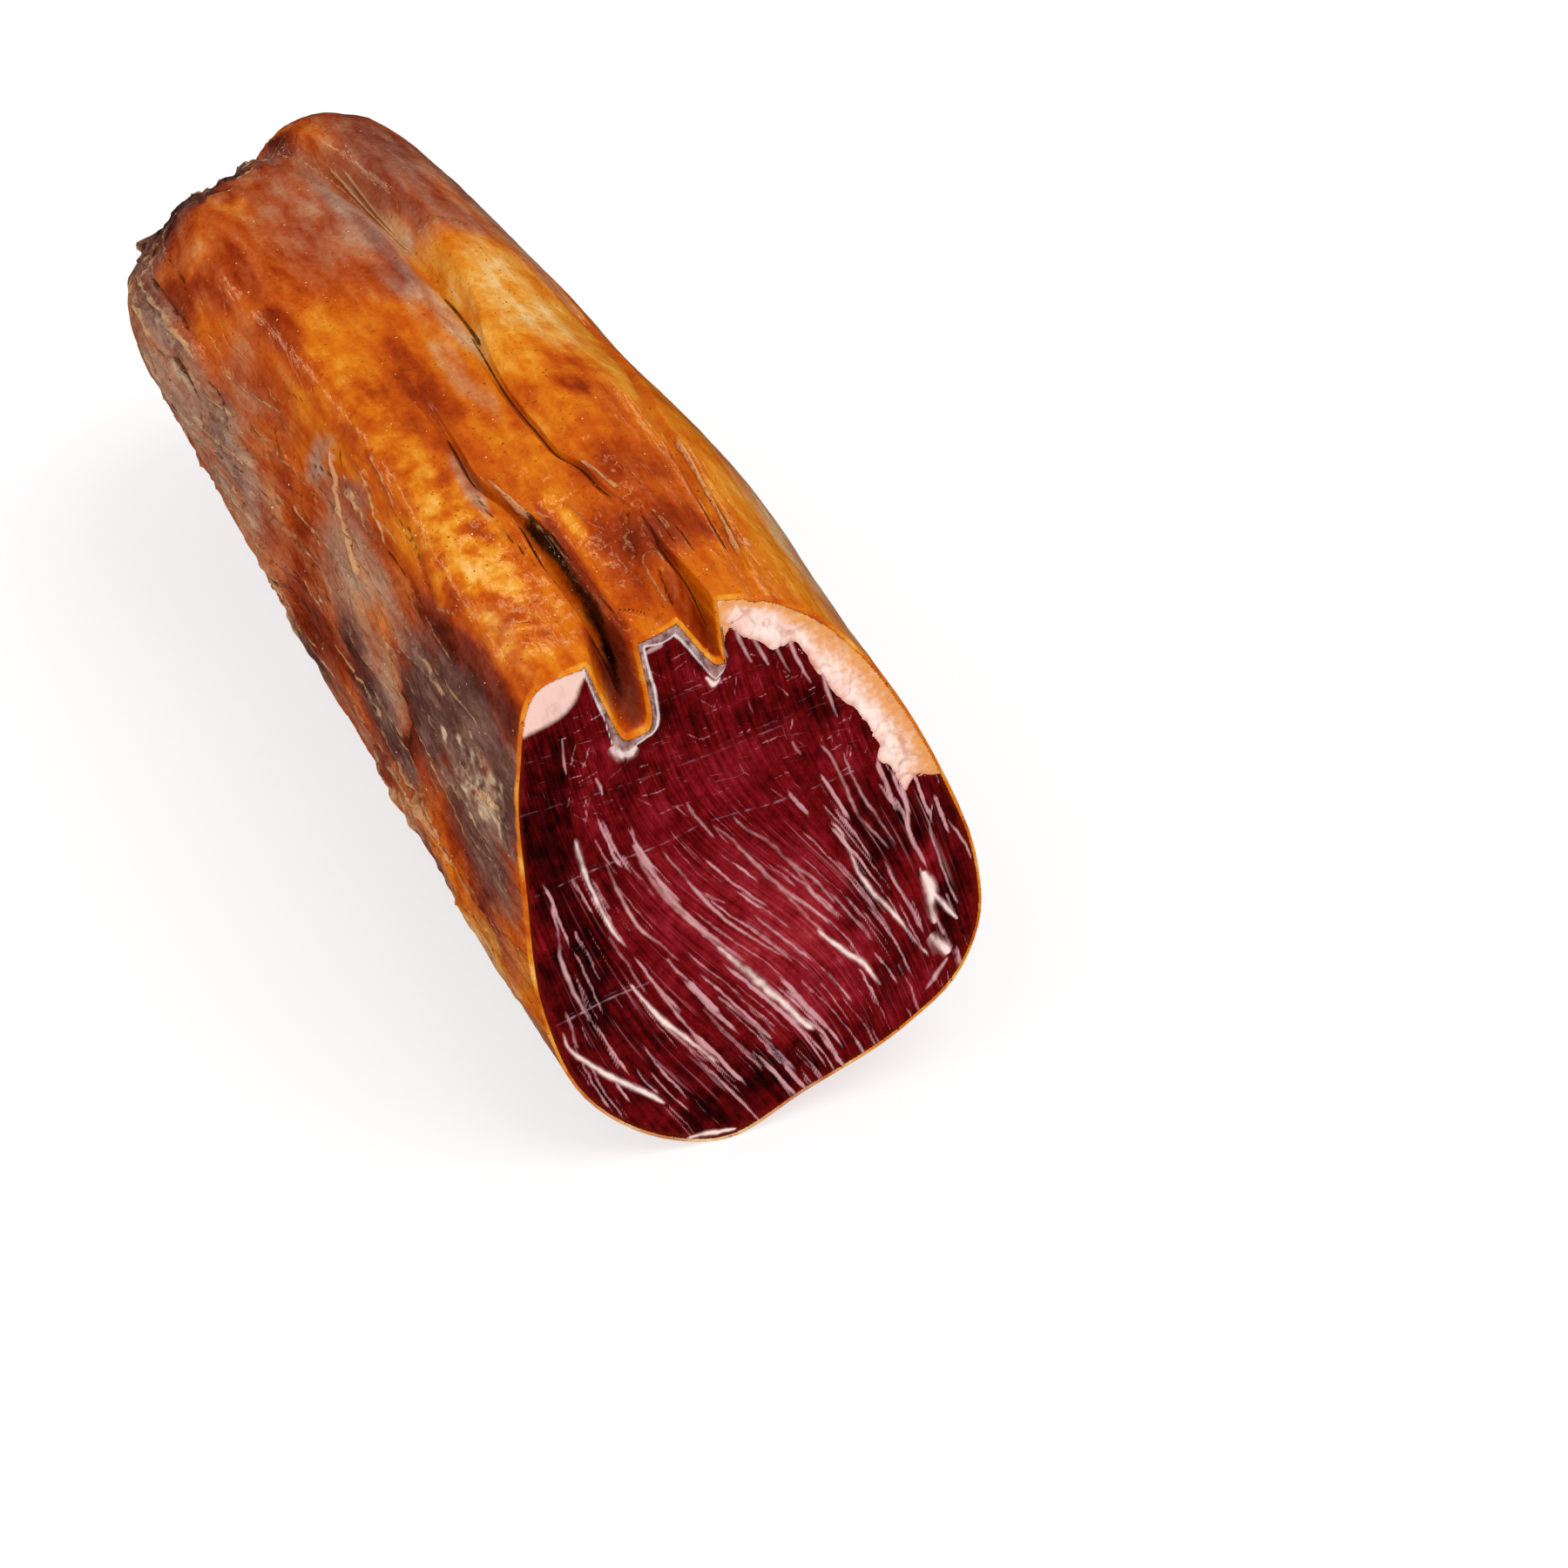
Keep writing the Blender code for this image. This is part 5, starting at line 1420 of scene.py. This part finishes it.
def make_fat():
    """The layer of fat at the upper right of the cut."""
    edge = cut_outline(LEAN_INSET)

    def keep(places):
        within = inside(places, edge)
        within[within] = fat_side(places[within]) > -0.8
        return within

    mesh = make_plate("fat", keep, np.array(FAT_FROM), edge.max(axis=0))
    flat, depth = plate_places(mesh)
    reach = fat_side(flat)
    gap = edge_gap(flat, edge)
    rise = 0.12 + noise("fat_rise", *flat.T)
    rise = np.where(reach < 0.6, rise + 0.5 * (eased((reach + 0.8) / 1.4) - 1.0), rise)
    crack = np.clip(1.0 - np.abs(noise("fat_cracks", *flat.T)) / 0.12, 0.0, 1.0)
    stand_plate(mesh, flat, depth, LEAN_BEHIND, rise - 0.08 * crack)
    deep = 3.0 + 4.5 * eased((flat[:, 0] - 14.0) / 10.0)
    set_mask(mesh, "peach", eased((deep - gap) / deep))
    set_mask(mesh, "crack", 0.8 * crack)
    set_mask(mesh, "rosy", 0.12 + 0.5 * eased((1.6 - reach) / 2.0))
    return mesh


def put_up_floor(scene):
    """Matt pale paper under the loin."""
    shape = bmesh.new()
    bmesh.ops.create_grid(shape, x_segments=1, y_segments=1, size=PAPER_HALF)
    mesh = bpy.data.meshes.new("floor")
    shape.to_mesh(mesh)
    shape.free()
    floor = bpy.data.objects.new("floor", mesh)
    scene.collection.objects.link(floor)
    material = bpy.data.materials.new("matt_paper")
    material.use_nodes = True
    shader = material.node_tree.nodes["Principled BSDF"]
    for socket, value in PAPER.items():
        shader.inputs[socket].default_value = chosen(value, None)
    mesh.materials.append(material)
    floor.visible_glossy = False


def put_up_light(scene, lamp, towards):
    """A light in the scene that shines from a direction towards the middle."""
    light = bpy.data.objects.new(lamp.name, lamp)
    scene.collection.objects.link(light)
    x, y, z = towards
    light.rotation_euler = (0.0, math.atan2(math.hypot(x, y), z), math.atan2(y, x))
    return light


def put_up_lights(scene):
    """An even sky, two soft suns, and strips for the highlights."""
    world = bpy.data.worlds.new("studio")
    world.use_nodes = True
    sky = world.node_tree.nodes["Background"]
    sky.inputs["Color"].default_value = linear("#ffffff")
    sky.inputs["Strength"].default_value = SKY_STRENGTH
    world.cycles_visibility.glossy = False
    scene.world = world
    for name, strength, wide, towards in SUNS:
        lamp = bpy.data.lights.new(name, "SUN")
        lamp.energy = strength
        lamp.angle = math.radians(wide)
        put_up_light(scene, lamp, towards).visible_glossy = False
    for name, place, wide, tall, glow in STRIPS:
        lamp = bpy.data.lights.new(name, "AREA")
        lamp.shape = "RECTANGLE"
        lamp.size = wide
        lamp.size_y = tall
        lamp.energy = glow * math.pi * wide * tall
        lamp.color = linear(STRIP_COLOUR)[:3]
        light = put_up_light(scene, lamp, place)
        light.location = place
        light.visible_diffuse = False


def put_up_camera(scene, focal_length):
    """The camera, looking down on the cut."""
    lens = bpy.data.cameras.new("camera")
    lens.lens = focal_length
    lens.sensor_width = SENSOR
    camera = bpy.data.objects.new("camera", lens)
    scene.collection.objects.link(camera)
    camera.location = CAMERA_PLACE
    camera.rotation_euler = (
        math.radians(90.0 - CAMERA_DOWN), 0.0, math.radians(CAMERA_TURN))
    scene.camera = camera
    scene.view_settings.view_transform = "Standard"


class LoinSettings(PropertyGroup):
    """Sizes and colours of the loin's looks"""

    wrinkle_height: FloatProperty(
        name="Wrinkle height", description="Height of the casing's fine wrinkles",
        default=0.9 * MM, min=0.0, max=3.0 * MM, precision=4, unit="LENGTH")
    strand_count: IntProperty(
        name="Strands", description="Strands drawn along the casing's left side",
        default=260, min=0, max=600)
    marbling_width: FloatProperty(
        name="Marbling width", description="Width of the white veins against the real ones",
        default=1.0, min=0.2, max=3.0, subtype="FACTOR")
    casing_wetness: FloatProperty(
        name="Casing wetness", description="How much of the casing's oily gloss shows",
        default=0.45, min=0.0, max=1.0, subtype="FACTOR")
    lean_wetness: FloatProperty(
        name="Lean wetness", description="How much of the lean's oily gloss shows",
        default=0.25, min=0.0, max=1.0, subtype="FACTOR")
    fat_wetness: FloatProperty(
        name="Fat wetness", description="How much of the fat's oily gloss shows",
        default=0.35, min=0.0, max=1.0, subtype="FACTOR")
    fleck_colour: FloatVectorProperty(
        name="Flecks", description="Pale flecks on the casing",
        default=linear("#d8bc98"), size=4, min=0.0, max=1.0, subtype="COLOR")
    # Dark stains, and the painted shade in the casing's folds
    stain_and_shade_colour: FloatVectorProperty(
        name="Stains", description="Dark stains in the casing's folds",
        default=linear("#140402"), size=4, min=0.0, max=1.0, subtype="COLOR")
    # Pale ridges, partly a painted highlight along them
    ridge_and_highlight_colour: FloatVectorProperty(
        name="Ridges", description="Pale ridges of gathered casing",
        default=linear("#e8b680"), size=4, min=0.0, max=1.0, subtype="COLOR")
    # Painted shade in the casing's thin creases
    crease_shade_colour: FloatVectorProperty(
        name="Creases", description="Thin creases of the casing",
        default=linear("#400f02"), size=4, min=0.0, max=1.0, subtype="COLOR")
    vein_colour: FloatVectorProperty(
        name="Veins", description="Thin veins and the rims of the wide ones",
        default=linear("#cc9a9a"), size=4, min=0.0, max=1.0, subtype="COLOR")
    marbling_colour: FloatVectorProperty(
        name="Marbling", description="Middles of the wide white veins",
        default=linear("#f0dad0"), size=4, min=0.0, max=1.0, subtype="COLOR")
    jelly_colour: FloatVectorProperty(
        name="Jelly", description="Clear jelly between the casing and the lean",
        default=linear("#c4a4a0"), size=4, min=0.0, max=1.0, subtype="COLOR")
    fat_edge_colour: FloatVectorProperty(
        name="Fat edge", description="Stain that the casing leaves in the fat",
        default=linear("#e89a50"), size=4, min=0.0, max=1.0, subtype="COLOR")
    lens: FloatProperty(
        name="Lens", description="Focal length of the camera", default=100.0, min=20.0,
        unit="CAMERA")


class LOIN_OT_casing(Operator):
    """Wrap the loin in its folded, smoked casing"""

    bl_idname = "loin.casing"
    bl_label = "Casing"

    def execute(self, context):
        settings = context.scene.loin_settings
        material = make_material("smoked_casing", SMOKED_CASING, settings)
        piece = link("casing", make_casing(settings), material)
        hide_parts("loin")
        return {"FINISHED"}


class LOIN_OT_lean(Operator):
    """Fill the cut with marbled lean"""

    bl_idname = "loin.lean"
    bl_label = "Lean of the cut"

    def execute(self, context):
        settings = context.scene.loin_settings
        material = make_material("cured_lean", CURED_LEAN, settings)
        piece = link("cut_lean", make_lean(settings), material)
        return {"FINISHED"}


class LOIN_OT_fat(Operator):
    """Lay the fat along the upper right of the cut"""

    bl_idname = "loin.fat"
    bl_label = "Fat"

    def execute(self, context):
        material = make_material("cured_fat", BACK_FAT, context.scene.loin_settings)
        piece = link("fat_layer", make_fat(), material)
        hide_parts("fat_cap")
        return {"FINISHED"}


class LOIN_OT_stage(Operator):
    """Put up the pale floor, the studio light and the camera"""

    bl_idname = "loin.stage"
    bl_label = "Stage"

    def execute(self, context):
        scene = context.scene
        put_up_floor(scene)
        put_up_lights(scene)
        put_up_camera(scene, scene.loin_settings.lens)
        return {"FINISHED"}


class LOIN_PT_pieces(Panel):
    """The loin's pieces, in the sidebar"""

    bl_label = "Cured pork loin"
    bl_space_type = "VIEW_3D"
    bl_region_type = "UI"
    bl_category = "Loin"

    def draw(self, context):
        settings = context.scene.loin_settings
        for name in LoinSettings.__annotations__:
            self.layout.prop(settings, name)
        for operator in OPERATORS:
            self.layout.operator(operator.bl_idname)


OPERATORS = (LOIN_OT_casing, LOIN_OT_lean, LOIN_OT_fat, LOIN_OT_stage)
CLASSES = (LoinSettings, *OPERATORS, LOIN_PT_pieces)


def register():
    """Register the loin's settings, operators and panel."""
    for item in CLASSES:
        bpy.utils.register_class(item)
    bpy.types.Scene.loin_settings = PointerProperty(type=LoinSettings)


def unregister():
    """Take them away again."""
    del bpy.types.Scene.loin_settings
    for item in reversed(CLASSES):
        bpy.utils.unregister_class(item)


def main():
    """Build every piece and the stage."""
    register()
    bpy.ops.loin.casing()
    bpy.ops.loin.lean()
    bpy.ops.loin.fat()
    bpy.ops.loin.stage()
    bpy.context.view_layer.update()


if __name__ == "__main__":
    main()
